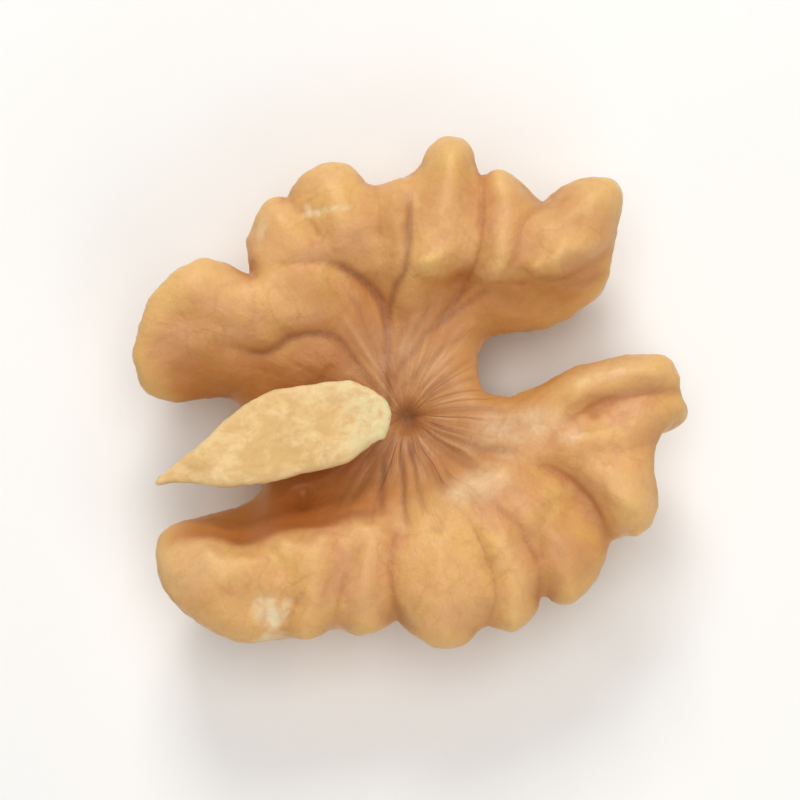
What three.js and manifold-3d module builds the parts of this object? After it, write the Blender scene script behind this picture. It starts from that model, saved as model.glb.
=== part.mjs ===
// Half kernel of a walnut: one folded seed leaf with its pale radicle, grown as one piece, inner face up.
// Millimetres, +Z up. The nut's own axis runs along X with the radicle's tip at -X, and the origin is
// under the middle of the kernel, on the plane of the worn-flat ridges that it rests on.
import * as THREE from "three";
import Module from "manifold-3d";

// Driving dimensions
const CELL = 1.0; // edge length of the surface facets
const RIM_GROW = 0.25; // how far the rounded edge would draw back from the rim's line
const RIM_ROUND = 2.0; // blend between the inner face and the rim's edge
const BACK_ROUND = 2.0; // blend between the rim's edge and the domed back
const GYRUS_BLEND = 0.4; // fillet in the grooves between the ridges of the back
const GYRUS_INSET = 0.2; // how far the ridges stay inside the rim
const FOOT_ROUND = 0.3; // rounding round each flat foot
const FOLD_SHARP = 0.38; // half width of a fold's sharp part
const PIT_DEPTH = 0.9; // dimple at the hub, beside the radicle's root
const RADICLE_FLAT = 0.55; // radicle thickness as a share of its width
const RADICLE_TOP = 10.2; // height of its split-off flat face
const RADICLE_STEPS = 7; // sections per stretch of the radicle
const RADICLE_SIDES = 14;
const SKIN = { color: 0xd6a064, roughness: 0.55, metalness: 0 };

// Rim seen from above: scalloped lobes, with the wide notch of the tip end and the narrow notch of the stalk end.
const OUTLINE = [
  [-14.49, 7.41], [-13.56, 8.7], [-12.49, 9.83], [-11.19, 10.89], [-9.8, 11.48], [-8.47, 11.46], [-7.34, 10.8],
  [-6.51, 9.94], [-5.83, 9.69], [-5.57, 10.87], [-5.25, 11.98], [-4.71, 13.03], [-4.04, 13.65], [-3.23, 13.77],
  [-2.57, 13.54], [-2.09, 13.98], [-1.39, 14.61], [-0.44, 14.93], [0.58, 14.86], [1.4, 14.46], [1.83, 13.8],
  [2.06, 13.1], [2.53, 12.74], [3.08, 12.79], [3.86, 12.89], [4.69, 12.83], [5.35, 13.06], [5.78, 13.52],
  [6.36, 14.16], [7.12, 14.42], [7.86, 14.31], [8.56, 13.88], [8.86, 13.13], [8.85, 12.29], [8.86, 11.6],
  [9.26, 11.75], [9.82, 11.72], [10.3, 11.33], [10.74, 10.54], [11.11, 9.6], [11.6, 8.82], [12.35, 8.98],
  [13.22, 9.44], [14.24, 9.62], [15.31, 9.46], [16.13, 8.94], [16.4, 8.08], [16.1, 7.11], [15.45, 6.09],
  [14.99, 5.07], [14.64, 4.08], [14.15, 3.26], [13.42, 2.63], [12.44, 2.28], [11.3, 2.04], [10.05, 1.94],
  [8.53, 2.19], [7.19, 2.57], [6.19, 2.49], [5.53, 1.75], [5.16, 0.55], [5.25, -0.57], [6.19, -1.32], [7.58, -1.55],
  [9.07, -1.43], [10.61, -1.17], [12.27, -1.12], [13.75, -1.23], [15.11, -1.52], [16.11, -2.07], [16.47, -2.96],
  [16.62, -4.05], [16.64, -5.1], [16.17, -5.85], [15.14, -6.19], [14.16, -6.62], [13.58, -7.49], [13.28, -8.61],
  [13.04, -9.87], [12.8, -10.82], [12.19, -11.55], [11.28, -11.67], [10.46, -11.34], [9.65, -11.46], [9.13, -12.2],
  [8.41, -12.95], [7.36, -13.84], [6.47, -14.22], [5.71, -13.85], [5.14, -13.19], [4.64, -13.23], [4.21, -13.85],
  [3.54, -14.59], [2.73, -15.02], [2.0, -14.56], [1.3, -14.0], [0.61, -14.03], [-0.25, -14.6], [-1.05, -14.84],
  [-1.8, -14.75], [-2.52, -14.27], [-3.0, -13.44], [-3.3, -12.52], [-3.67, -11.9], [-4.33, -12.23], [-5.06, -12.57],
  [-5.75, -12.58], [-6.37, -12.24], [-6.89, -11.72], [-7.42, -11.53], [-8.0, -11.69], [-8.73, -12.01],
  [-9.45, -11.98], [-10.02, -11.63], [-10.75, -11.48], [-12.01, -11.24], [-13.19, -10.71], [-14.32, -9.66],
  [-15.31, -8.51], [-15.81, -7.53], [-16.08, -6.51], [-16.32, -5.39], [-16.31, -4.42], [-15.86, -3.66],
  [-15.08, -3.1], [-13.9, -2.9], [-12.46, -2.95], [-10.87, -3.14], [-9.55, -2.77], [-8.7, -1.77], [-8.32, -0.19],
  [-8.41, 1.42], [-8.77, 2.55], [-9.33, 3.47], [-10.44, 3.81], [-11.87, 3.93], [-13.02, 4.12], [-13.94, 4.78],
  [-14.43, 5.86],
];

// Heights of the inner face: a shallow bowl round the hub, rising to the crest of the lobes. [x, y, z]
const FACE = [
  [0.37, -1.09, 7.05], [0.55, 3.07, 7.85], [1.03, 5.51, 8.45], [1.23, 7.08, 9.05], [3.99, 0.53, 7.85],
  [3.92, -1.49, 7.95], [1.45, -4.13, 8.45], [0.08, -4.26, 8.25], [-0.91, -3.9, 7.95], [-2.22, -4.23, 7.75],
  [-4.6, -4.0, 7.45], [-8.16, -3.64, 7.35], [-11.48, -2.76, 8.05], [-9.13, -2.8, 7.05], [5.28, -3.54, 8.85],
  [4.93, -4.66, 9.45], [10.32, -2.77, 10.2], [14.56, -2.7, 10.1], [8.05, -2.21, 9.25], [10.83, -4.22, 9.65],
  [10.8, -5.22, 10.25], [15.15, -5.2, 9.55], [11.04, -8.43, 10.25], [9.11, -5.25, 10.15], [1.95, -6.46, 10.15],
  [-2.23, -7.36, 10.25], [-5.64, -7.4, 10.35], [-9.23, -7.12, 10.4], [-13.66, -5.9, 10.35], [5.97, -9.17, 10.4],
  [7.36, -12.47, 9.65], [-0.38, -10.1, 10.45], [-1.4, -13.46, 9.85], [3.12, -13.89, 9.75], [-5.34, -11.3, 9.85],
  [-8.93, -10.61, 9.85], [-11.65, -8.83, 10.15], [-15.37, -4.98, 9.85], [6.37, 9.64, 10.5], [7.53, 13.45, 10.05],
  [0.07, 12.79, 10.3], [-3.81, 12.02, 10.05], [-9.16, 8.82, 10.35], [-13.1, 7.83, 9.65], [-6.96, 4.28, 8.25],
  [-4.17, 4.52, 8.45], [-8.36, 3.49, 7.75], [-11.16, 4.34, 8.15], [-0.47, 9.5, 10.2], [4.47, 7.45, 10.4],
  [10.15, 5.3, 10.55], [13.18, 6.59, 10.55], [15.16, 8.18, 10.15], [10.84, 2.92, 8.45], [7.43, 3.5, 8.35],
  [7.19, 2.72, 7.85], [9.32, 9.5, 10.35], [3.47, 11.29, 10.25], [-7.02, 0.09, 6.65], [-7.67, 1.51, 6.65],
  [-4.46, -0.43, 6.75], [-2.4, -0.37, 6.95], [-8.67, -5.93, 10.3], [-8.44, -5.19, 9.05], [-8.39, -4.39, 7.95],
  [-11.11, -6.0, 10.25], [-10.94, -5.17, 8.85], [-10.65, -4.24, 7.75], [-12.93, -5.18, 10.25], [-12.96, -4.22, 9.05],
  [-6.37, -6.37, 10.3], [-6.12, -5.42, 8.75], [-4.0, -6.48, 10.25], [-3.69, -5.48, 8.95], [10.22, 4.67, 10.5],
  [10.03, 4.05, 9.25], [7.76, 5.29, 10.35], [7.53, 4.54, 9.05], [13.26, 4.76, 10.45], [13.38, 3.91, 9.35],
  [13.93, 2.79, 9.15], [3.83, 6.69, 10.25], [3.71, 5.84, 9.15], [6.44, 6.3, 9.85], [5.88, 5.39, 8.95],
  [-0.11, 8.03, 9.45], [-6.99, 6.87, 10.0], [-3.44, 6.47, 9.75], [8.86, -10.21, 9.4], [8.45, -8.45, 9.65],
  [10.1, -8.82, 10.15], [1.84, -5.61, 9.75], [4.34, -5.43, 9.85], [-12.32, 4.97, 8.65], [-2.46, 3.45, 8.05],
  [-1.6, 7.13, 9.45],
];

// Heights of the back under its ridges: two domes with a valley between them. [x, y, z]
const BACK = [
  [-13.79, 7.73, 7.35], [-9.1, 11.05, 7.35], [-4.81, 13.55, 7.35], [0.43, 14.67, 7.35], [4.0, 13.03, 7.35],
  [7.76, 14.19, 7.35], [10.05, 11.45, 7.35], [15.79, 8.88, 7.35], [15.19, 4.71, 7.35], [16.77, -3.92, 7.35],
  [12.94, -10.23, 7.35], [8.75, -13.71, 7.35], [2.9, -15.05, 7.35], [-1.72, -14.59, 7.35], [-5.68, -12.42, 7.35],
  [-9.27, -11.73, 7.35], [-13.25, -10.51, 7.35], [-16.36, -4.67, 7.35], [-10.07, 7.0, 5.05], [-6.58, 8.65, 3.05],
  [-2.53, 9.45, 1.95], [1.39, 8.93, 1.75], [6.19, 7.74, 1.75], [10.3, 6.48, 2.75], [13.56, 6.03, 5.55],
  [-13.5, -5.55, 4.85], [-10.83, -7.04, 2.75], [-7.91, -7.26, 1.85], [-3.48, -8.34, 1.55], [1.72, -9.11, 1.55],
  [6.43, -8.38, 2.35], [10.9, -6.21, 4.95], [14.15, -4.48, 6.75], [0.27, -0.51, 3.85], [-4.31, 0.07, 3.85],
  [-7.49, 0.77, 4.15], [3.59, 0.11, 4.15], [3.52, -1.91, 4.15], [-0.38, 4.04, 3.05], [3.54, 3.52, 3.15],
  [-4.3, 4.55, 3.55], [-4.28, -4.29, 3.05], [0.15, -5.37, 3.05], [4.26, -5.27, 3.55], [7.46, 3.0, 4.35],
  [7.62, -3.17, 4.95],
];

// Ridges of the back, each along a line on the domes. [x, y, radius]
const GYRI = [
  [[-12.38, 7.03, 1.88], [-9.31, 7.72, 2.16], [-6.44, 6.43, 1.97], [-4.94, 4.21, 1.41]],
  [[-8.04, 9.64, 1.5], [-5.13, 9.84, 1.79], [-2.98, 7.96, 1.97], [-1.6, 5.36, 1.79], [-2.21, 3.37, 1.32]],
  [[-2.98, 7.96, 1.79], [-4.85, 7.17, 1.5]],
  [[-2.91, 11.74, 1.5], [-1.08, 10.64, 1.69], [0.58, 8.5, 1.97], [1.47, 6.06, 1.88], [0.46, 3.65, 1.41]],
  [[0.51, 13.15, 1.5], [2.33, 11.09, 1.69], [4.02, 10.85, 1.41]],
  [[7.23, 12.45, 1.5], [5.85, 10.15, 1.69], [4.21, 7.93, 1.97], [4.49, 5.27, 1.88], [2.94, 2.89, 1.41]],
  [[4.21, 7.93, 1.69], [2.7, 9.21, 1.5]],
  [[9.52, 9.71, 1.22], [8.54, 7.84, 1.69], [6.94, 5.74, 1.79], [6.96, 3.56, 1.32]],
  [[14.1, 7.36, 1.69], [11.94, 6.52, 1.97], [9.71, 5.44, 1.88], [9.31, 3.25, 1.22]],
  [[11.94, 6.52, 1.69], [11.69, 8.37, 1.41]], [[14.16, 4.89, 1.22], [12.37, 3.94, 1.41]],
  [[-14.99, -5.09, 1.79], [-12.42, -6.01, 2.16], [-9.3, -5.6, 2.07], [-7.29, -3.91, 1.41]],
  [[-9.3, -5.6, 1.79], [-9.63, -4.01, 1.41]],
  [[-12.47, -8.85, 1.6], [-9.47, -8.82, 1.88], [-6.7, -7.76, 2.07], [-4.7, -5.65, 1.6]],
  [[-6.7, -7.76, 1.79], [-5.55, -9.34, 1.5]], [[-8.57, -10.32, 1.32], [-6.47, -10.55, 1.5]],
  [[-5.1, -10.97, 1.32], [-3.73, -9.62, 1.79], [-2.18, -7.65, 1.97], [-2.37, -5.14, 1.5]],
  [[-1.26, -13.09, 1.6], [-0.9, -11.03, 1.79], [0.78, -9.09, 2.07], [1.04, -6.46, 1.5]],
  [[3.23, -13.52, 1.03], [3.05, -11.42, 1.69], [4.36, -9.37, 1.97], [3.96, -6.67, 1.6]],
  [[4.36, -9.37, 1.69], [5.11, -11.37, 1.5]],
  [[7.11, -12.39, 1.6], [7.1, -10.21, 1.97], [8.23, -7.84, 1.97], [6.65, -5.45, 1.41]],
  [[8.23, -7.84, 1.69], [9.49, -9.04, 1.41]], [[11.22, -9.16, 1.5], [11.5, -6.93, 1.79], [9.96, -4.83, 1.5]],
  [[15.11, -4.91, 1.41], [13.52, -3.88, 1.41], [10.92, -3.49, 1.22]],
  [[0.41, 2.16, 1.6], [0.32, -0.8, 1.41], [-1.21, -3.59, 1.6]],
];

// Folds of the inner face: [depth, half width on the line's left, on its right, strength at its start, at its end, line]
const FOLDS = [

  [0.38, 0.8, 1.7, 0.4, 0.3, [[-5.8, 9.48], [-3.6, 9.54], [-1.57, 9.04], [-0.37, 8.19], [0.81, 6.49], [0.89, 5.01], [0.44, 3.2]]],
  [0.15, 0.9, 0.9, 0.4, 0.6, [[0.89, 5.01], [2.12, 6.82], [2.91, 7.31], [3.76, 9.71], [4.4, 11.7], [4.67, 12.59]]],
  [0.5, 1.1, 1.1, 0.9, 0, [[8.84, 11.56], [7.78, 8.48], [6.73, 6.38], [5.25, 5.13], [3.09, 3.61]]],
  [0.38, 1.1, 1.0, 0.9, 0.4, [[11.59, 8.78], [10.18, 7.75], [9.12, 5.89], [7.9, 5.05]]],
  [0.32, 1.0, 1.0, 0.8, 0, [[-2.48, 13.51], [-2.05, 12.22], [-1.26, 10.04]]],
  [0.28, 0.9, 0.9, 0.8, 0, [[2.57, 12.7], [2.17, 10.93], [1.71, 8.64]]],
  [0.5, 1.0, 1.7, 0, 0.2, [[-9.9, 6.46], [-7.56, 5.63], [-6.19, 5.01], [-4.9, 5.44], [-3.68, 5.39], [-2.63, 5.07], [-1.97, 4.14], [-1.76, 3.15], [-1.59, 2.05]]],
  [0.4, 0.6, 1.5, 0, 0.12, [[6.96, -4.3], [8.13, -4.27], [9.55, -3.93], [10.96, -3.58], [12.23, -3.63], [14.05, -3.87], [15.38, -3.98], [16.98, -4.16]]],
  [0.5, 0.7, 1.6, 0, 0.9, [[5.7, -5.32], [7.47, -6.42], [8.55, -7.65], [9.29, -9.04], [9.49, -10.54], [9.72, -11.53]]],
  [0.38, 1.0, 1.0, 0.9, 0, [[4.74, -13.21], [5.08, -11.32], [4.51, -9.21], [3.89, -8.05], [3.19, -6.38]]],
  [0.38, 1.0, 1.0, 0.9, 0, [[1.25, -13.99], [2.27, -12.16], [2.15, -8.97], [1.74, -7.15]]],
  [0.48, 1.0, 1.0, 0.9, 0.2, [[-3.68, -11.92], [-3.23, -9.27], [-2.4, -7.58], [-1.77, -6.32]]],
  [0.32, 1.0, 1.0, 0.9, 0, [[-7.37, -11.52], [-6.28, -9.55], [-4.78, -7.82], [-3.48, -6.76]]],
  [0.26, 1.0, 1.0, 0.9, 0, [[-10.27, -11.49], [-9.53, -10.26], [-8.5, -8.87]]],
  [0.36, 0.6, 1.0, 0.2, 0.2, [[2.99, 7.28], [4.12, 6.2], [5.81, 6.17], [6.84, 6.35]]],
  [0.65, 0.5, 1.6, 0.2, 0.6, [[6.72, 5.17], [7.84, 4.87], [10.12, 4.37], [11.25, 4.1], [13.16, 4.41], [15.17, 5.01]]],
  [0.3, 1.0, 1.0, 0, 0.7, [[9.42, -5.85], [11.64, -6.53], [13.88, -6.73]]],
  [0.22, 0.9, 0.9, 0, 0.5, [[7.63, -7.73], [5.77, -9.84], [5.25, -12.35]]],
];

// Swells along the crest of the lobes: [height, half width, line]
const SWELLS = [
  [0.28, 1.59, [[-13.97, 7.37], [-12.25, 9.03], [-10.44, 10.17], [-8.58, 10.7], [-7.03, 9.81]]],
  [0.32, 1.22, [[0.43, 14.37], [0.02, 11.83], [0.45, 9.27]]],
  [0.2, 0.98, [[-3.51, 13.39], [-2.99, 11.53], [-1.77, 9.95]]],
  [0.38, 1.34, [[7.79, 14.07], [6.6, 11.27], [4.93, 7.66]]],
  [0.16, 0.98, [[3.77, 12.58], [3.03, 10.18], [2.02, 8.06]]], [0.3, 1.4, [[9.92, 11.84], [9.16, 8.79], [8.1, 5.72]]],
  [0.42, 1.83, [[16.02, 9.0], [13.36, 7.02], [10.32, 5.04]]],
  [0.35, 0.98, [[5.36, -2.06], [8.25, -1.73], [11.19, -1.66], [13.76, -1.96], [16.39, -2.89]]],
  [0.26, 1.22, [[7.52, -4.91], [10.42, -4.95], [12.78, -5.18], [15.94, -5.18]]],
  [0.32, 1.46, [[8.58, -6.2], [10.58, -8.39], [12.27, -11.22]]],
  [0.35, 0.85, [[6.14, -5.46], [3.51, -6.11], [1.57, -6.12], [-0.21, -7.16]]],
  [0.3, 1.46, [[5.41, -7.05], [6.51, -9.82], [6.82, -13.55]]],
  [0.28, 1.1, [[2.71, -7.93], [3.39, -11.29], [3.18, -14.5]]],
  [0.38, 1.59, [[-0.02, -7.34], [-0.66, -11.02], [-1.6, -14.5]]],
  [0.28, 1.1, [[-4.22, -6.78], [-5.03, -9.45], [-5.73, -12.14]]],
  [0.22, 1.1, [[-6.68, -6.51], [-7.83, -9.08], [-9.23, -11.68]]],
  [0.26, 1.95, [[-15.52, -4.05], [-13.49, -6.13], [-11.03, -7.61], [-8.53, -7.4]]],
  [0.1, 1.22, [[-14.39, -3.55], [-12.95, -5.25], [-11.14, -6.07], [-8.69, -6.02], [-6.39, -6.41], [-4.02, -6.55], [-2.27, -6.77]]],
  [0.3, 1.22, [[-7.43, 4.15], [-4.94, 4.36], [-2.8, 4.2], [-2.03, 2.75]]],
];

// Dimple at the hub.
const PIT = [0.44, -0.68];

// Radicle from its free tip to its root, and the stalk of tissue below it. [x, y, z, half width]
const RADICLE = [
  [-14.37, -0.39, 9.25, 0.25], [-12.24, -0.09, 9.25, 1.05], [-9.41, 0.27, 9.25, 2.2], [-6.32, 0.14, 9.25, 2.6],
  [-3.65, 0.01, 9.15, 2.45], [-1.54, -0.23, 8.75, 1.7],
];
const STALK = [
  [-7.68, 0.15, 6.35, 1.2], [-4.65, -0.16, 6.85, 1.6], [-2.28, -0.41, 7.15, 1.25],
];

// A smooth line through a list of points, with a fixed number of steps in each stretch.
function smooth(points, steps, closed = false) {
  const width = points[0].length;
  const run = (a) =>
    new THREE.CatmullRomCurve3(
      points.map((p) => new THREE.Vector3(p[a] ?? 0, p[a + 1] ?? 0, 0)),
      closed,
      "catmullrom",
      0.5,
    ).getPoints(steps * (closed ? points.length : points.length - 1));
  if (points.length < 3) return points;
  const low = run(0),
    high = width > 2 ? run(2) : null;
  return low.map((p, i) => [p.x, p.y, ...(high ? [high[i].x, high[i].y] : [])].slice(0, width));
}

// Thin-plate surface through scattered heights.
function sheet(points, ease = 0.02) {
  const n = points.length,
    m = n + 3;
  const kernel = (r2) => (r2 > 1e-12 ? 0.5 * r2 * Math.log(r2) : 0);
  const a = Array.from({ length: m }, () => new Float64Array(m + 1));
  for (let i = 0; i < n; i++) {
    for (let j = 0; j < n; j++)
      a[i][j] =
        kernel((points[i][0] - points[j][0]) ** 2 + (points[i][1] - points[j][1]) ** 2) + (i === j ? ease : 0);
    const row = [1, points[i][0], points[i][1]];
    row.forEach((v, q) => {
      a[i][n + q] = v;
      a[n + q][i] = v;
    });
    a[i][m] = points[i][2];
  }
  for (let c = 0; c < m; c++) {
    let best = c;
    for (let r = c + 1; r < m; r++) if (Math.abs(a[r][c]) > Math.abs(a[best][c])) best = r;
    [a[c], a[best]] = [a[best], a[c]];
    for (let r = 0; r < m; r++) {
      if (r === c) continue;
      const f = a[r][c] / a[c][c];
      if (f) for (let k = c; k <= m; k++) a[r][k] -= f * a[c][k];
    }
  }
  const w = a.map((row, i) => row[m] / row[i]);
  return (x, y) => {
    let z = w[n] + w[n + 1] * x + w[n + 2] * y;
    for (let i = 0; i < n; i++) z += w[i] * kernel((x - points[i][0]) ** 2 + (y - points[i][1]) ** 2);
    return z;
  };
}

const clamp01 = (t) => Math.min(1, Math.max(0, t));
const smin = (a, b, k) => {
  const h = Math.max(k - Math.abs(a - b), 0) / k;
  return Math.min(a, b) - h * h * k * 0.25;
};
const smax = (a, b, k) => -smin(-a, -b, k);

// Distance in plan from a point to a line.
function near(x, y, line) {
  let best = Infinity;
  for (let i = 0; i + 1 < line.length; i++) {
    const [ax, ay] = line[i],
      bx = line[i + 1][0] - ax,
      by = line[i + 1][1] - ay;
    const t = clamp01(((x - ax) * bx + (y - ay) * by) / (bx * bx + by * by + 1e-12));
    best = Math.min(best, (x - ax - t * bx) ** 2 + (y - ay - t * by) ** 2);
  }
  return Math.sqrt(best);
}

// Distance to a line, the side of it (above 0 on its left) and the share of the way along.
function track(x, y, line) {
  let best = Infinity,
    side = 0,
    share = 0,
    run = 0;
  for (let i = 0; i + 1 < line.length; i++) {
    const [ax, ay] = line[i],
      bx = line[i + 1][0] - ax,
      by = line[i + 1][1] - ay,
      len = Math.hypot(bx, by);
    const t = clamp01(((x - ax) * bx + (y - ay) * by) / (len * len + 1e-12));
    const d = (x - ax - t * bx) ** 2 + (y - ay - t * by) ** 2;
    if (d < best) (best = d), (side = bx * (y - ay) - by * (x - ax)), (share = run + t * len);
    run += len;
  }
  return [Math.sqrt(best), side, share / run];
}
const ramp = (a, b, x) => THREE.MathUtils.smoothstep((x - a) / (b - a), 0, 1);
const fade = (share, first, last) => (first + (1 - first) * ramp(0, 0.3, share)) * (last + (1 - last) * ramp(1, 0.7, share));

// Distance in space to a round bar of changing radius.
function bar(x, y, z, line) {
  let best = Infinity;
  for (let i = 0; i + 1 < line.length; i++) {
    const a = line[i],
      b = line[i + 1];
    const bx = b[0] - a[0],
      by = b[1] - a[1],
      bz = b[2] - a[2];
    const px = x - a[0],
      py = y - a[1],
      pz = z - a[2];
    const t = clamp01((px * bx + py * by + pz * bz) / (bx * bx + by * by + bz * bz + 1e-12));
    const d = Math.hypot(px - t * bx, py - t * by, pz - t * bz) - (a[3] + t * (b[3] - a[3]));
    if (d < best) best = d;
  }
  return best;
}

const rim = smooth(OUTLINE, 3, true);
rim[rim.length - 1] = rim[0];
const folds = FOLDS.map((f) => [...f.slice(0, 5), smooth(f[5], 4)]);
const swells = SWELLS.map(([high, wide, line]) => [high, wide, smooth(line, 4)]);
const face = sheet(FACE),
  dome = sheet(BACK);
const ridges = GYRI.map((line) => smooth(line.map(([x, y, r]) => [x, y, dome(x, y), r]), 4)).map((line) => ({
  line,
  reach: new THREE.Box3(
    ...[-1, 1].map(
      (s) =>
        new THREE.Vector3(
          ...[0, 1, 2].map(
            (a) => (s < 0 ? Math.min : Math.max)(...line.map((p) => p[a])) + s * (Math.max(...line.map((p) => p[3])) + 2),
          ),
        ),
    ),
  ),
}));
const stalk = smooth(STALK, 4);

// Distance from the rim's edge in plan, negative inside.
function edge(x, y) {
  let inside = false;
  for (let i = 0; i + 1 < rim.length; i++) {
    const [ax, ay] = rim[i],
      [bx, by] = rim[i + 1];
    if (ay > y !== by > y && x < ((bx - ax) * (y - ay)) / (by - ay) + ax) inside = !inside;
  }
  return near(x, y, rim) * (inside ? -1 : 1);
}

// The two height sheets and the edge above one point of the plan.
function column(x, y) {
  let top = face(x, y) - PIT_DEPTH * Math.exp(-((x - PIT[0]) ** 2 + (y - PIT[1]) ** 2) / 0.8);
  for (const [depth, left, right, first, last, line] of folds) {
    const [r, side, share] = track(x, y, line);
    const wide = side > 0 ? left : right;
    top -= depth * fade(share, first, last) * (0.5 * Math.exp(-r / FOLD_SHARP) + 0.6 * Math.exp(-((r / wide) ** 2)));
  }
  for (const [high, wide, line] of swells) {
    const [r, , share] = track(x, y, line);
    top += high * fade(share, 0.15, 0.15) * Math.exp(-((r / wide) ** 2));
  }
  return [edge(x, y) - RIM_GROW, top, dome(x, y)];
}

// Plan shifted a little to and fro, which makes the ridges of the back wind.
const wander = (x, y) => [
  x + 0.5 * Math.sin(0.62 * y + 0.7) + 0.24 * Math.sin(1.15 * x + 0.5 * y + 2.1),
  y + 0.45 * Math.sin(0.58 * x - 0.9) + 0.24 * Math.sin(1.05 * y - 0.6 * x + 0.4),
];

// Signed distance to the kernel's skin, without the radicle.
const at = new THREE.Vector3();
function skin(x, y, z, [out, top, back] = column(x, y)) {
  let f = Math.min(smax(smax((z - top) * 0.9, out, RIM_ROUND), (back - z) * 0.75, BACK_ROUND), 4);
  at.set(x, y, z);
  const [wx, wy] = wander(x, y);
  for (const { line, reach } of ridges)
    if (reach.containsPoint(at)) f = smin(f, smax(bar(wx, wy, z, line), out + GYRUS_INSET, 1), GYRUS_BLEND);
  f = smin(f, bar(x, y, z, stalk), 0.6);
  return smax(f, -z, FOOT_ROUND);
}

// Faceted skin of the kernel: one vertex for each grid cell that the skin passes through.
function skinned(cell) {
  const low = [-18.5, -17.5, -2.0],
    high = [18.5, 17.5, 13.0];
  const [nx, ny, nz] = low.map((l, i) => Math.ceil((high[i] - l) / cell) + 1);
  const id = (i, j, k) => (i * ny + j) * nz + k;
  const f = new Float64Array(nx * ny * nz);
  for (let i = 0; i < nx; i++)
    for (let j = 0; j < ny; j++) {
      const x = low[0] + i * cell,
        y = low[1] + j * cell,
        c = column(x, y);
      for (let k = 0; k < nz; k++) f[id(i, j, k)] = skin(x, y, low[2] + k * cell, c);
    }
  // Corners are filled until no two parts of the skin meet at a bare edge or point.
  const step = [ny * nz, nz, 1];
  for (let changed = true; changed; ) {
    changed = false;
    for (let i = 0; i + 1 < nx; i++)
      for (let j = 0; j + 1 < ny; j++)
        for (let k = 0; k + 1 < nz; k++) {
          const o = id(i, j, k);
          for (const [p, q] of [
            [0, 1],
            [0, 2],
            [1, 2],
          ])
            for (const base of [o, o + step[3 - p - q]]) {
              const a = f[base] < 0,
                b = f[base + step[p]] < 0,
                c = f[base + step[q]] < 0,
                d = f[base + step[p] + step[q]] < 0;
              if (a && d && !b && !c) (f[base + step[p]] = -1e-3), (changed = true);
              else if (!a && !d && b && c) (f[base] = -1e-3), (changed = true);
            }
          const corner = (n) => o + (n & 1) * step[0] + ((n >> 1) & 1) * step[1] + ((n >> 2) & 1) * step[2];
          const full = [...Array(8).keys()].filter((n) => f[corner(n)] < 0);
          if (full.length === 2 && full[0] + full[1] === 7) (f[corner(full[0] ^ 1)] = -1e-3), (changed = true);
          const bare = [...Array(8).keys()].filter((n) => f[corner(n)] >= 0);
          if (bare.length === 2 && bare[0] + bare[1] === 7) (f[corner(bare[0])] = -1e-3), (changed = true);
        }
  }
  const at = new Int32Array(nx * ny * nz).fill(-1),
    points = [];
  for (let i = 0; i + 1 < nx; i++)
    for (let j = 0; j + 1 < ny; j++)
      for (let k = 0; k + 1 < nz; k++) {
        const sum = [0, 0, 0];
        let count = 0;
        for (let n = 0; n < 8; n++)
          for (let a = 0; a < 3; a++) {
            if ((n >> a) & 1) continue;
            const c = [n & 1, (n >> 1) & 1, (n >> 2) & 1];
            const va = f[id(i + c[0], j + c[1], k + c[2])];
            const e = [...c];
            e[a] = 1;
            const vb = f[id(i + e[0], j + e[1], k + e[2])];
            if (va < 0 === vb < 0) continue;
            c[a] += va / (va - vb);
            sum[0] += i + c[0];
            sum[1] += j + c[1];
            sum[2] += k + c[2];
            count++;
          }
        if (!count) continue;
        at[id(i, j, k)] = points.length;
        points.push(sum.map((v, a) => low[a] + (v / count) * cell));
      }
  // Each vertex is drawn onto the skin, by at most a share of a cell.
  const e = 0.05;
  for (let turn = 0; turn < 3; turn++)
    for (const p of points) {
      const f0 = skin(...p);
      const g = [0, 1, 2].map((a) => {
        const u = [...p],
          v = [...p];
        u[a] += e;
        v[a] -= e;
        return (skin(...u) - skin(...v)) / (2 * e);
      });
      const g2 = Math.max(g[0] ** 2 + g[1] ** 2 + g[2] ** 2, 0.15);
      const move = g.map((v) => (-f0 / g2) * v);
      const share = Math.min(1, (0.25 * cell) / Math.max(Math.hypot(...move), 1e-9));
      for (let a = 0; a < 3; a++) p[a] += move[a] * share;
    }
  for (const p of points) if (p[2] < 0.14) p[2] = 0; // the worn feet are flat
  const faces = [];
  for (let i = 1; i + 1 < nx; i++)
    for (let j = 1; j + 1 < ny; j++)
      for (let k = 1; k + 1 < nz; k++)
        for (let a = 0; a < 3; a++) {
          const o = id(i, j, k),
            inside = f[o] < 0;
          if (inside === f[o + step[a]] < 0) continue;
          const p = step[(a + 1) % 3],
            q = step[(a + 2) % 3];
          const ring = [at[o - p - q], at[o - q], at[o], at[o - p]];
          if (!inside) ring.reverse();
          // The shorter diagonal splits each patch.
          const gap = (m, n) => Math.hypot(...points[m].map((v, c) => v - points[n][c]));
          if (gap(ring[0], ring[2]) <= gap(ring[1], ring[3])) faces.push(ring[0], ring[1], ring[2], ring[0], ring[2], ring[3]);
          else faces.push(ring[0], ring[1], ring[3], ring[1], ring[2], ring[3]);
        }
  return { points, faces };
}

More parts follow.
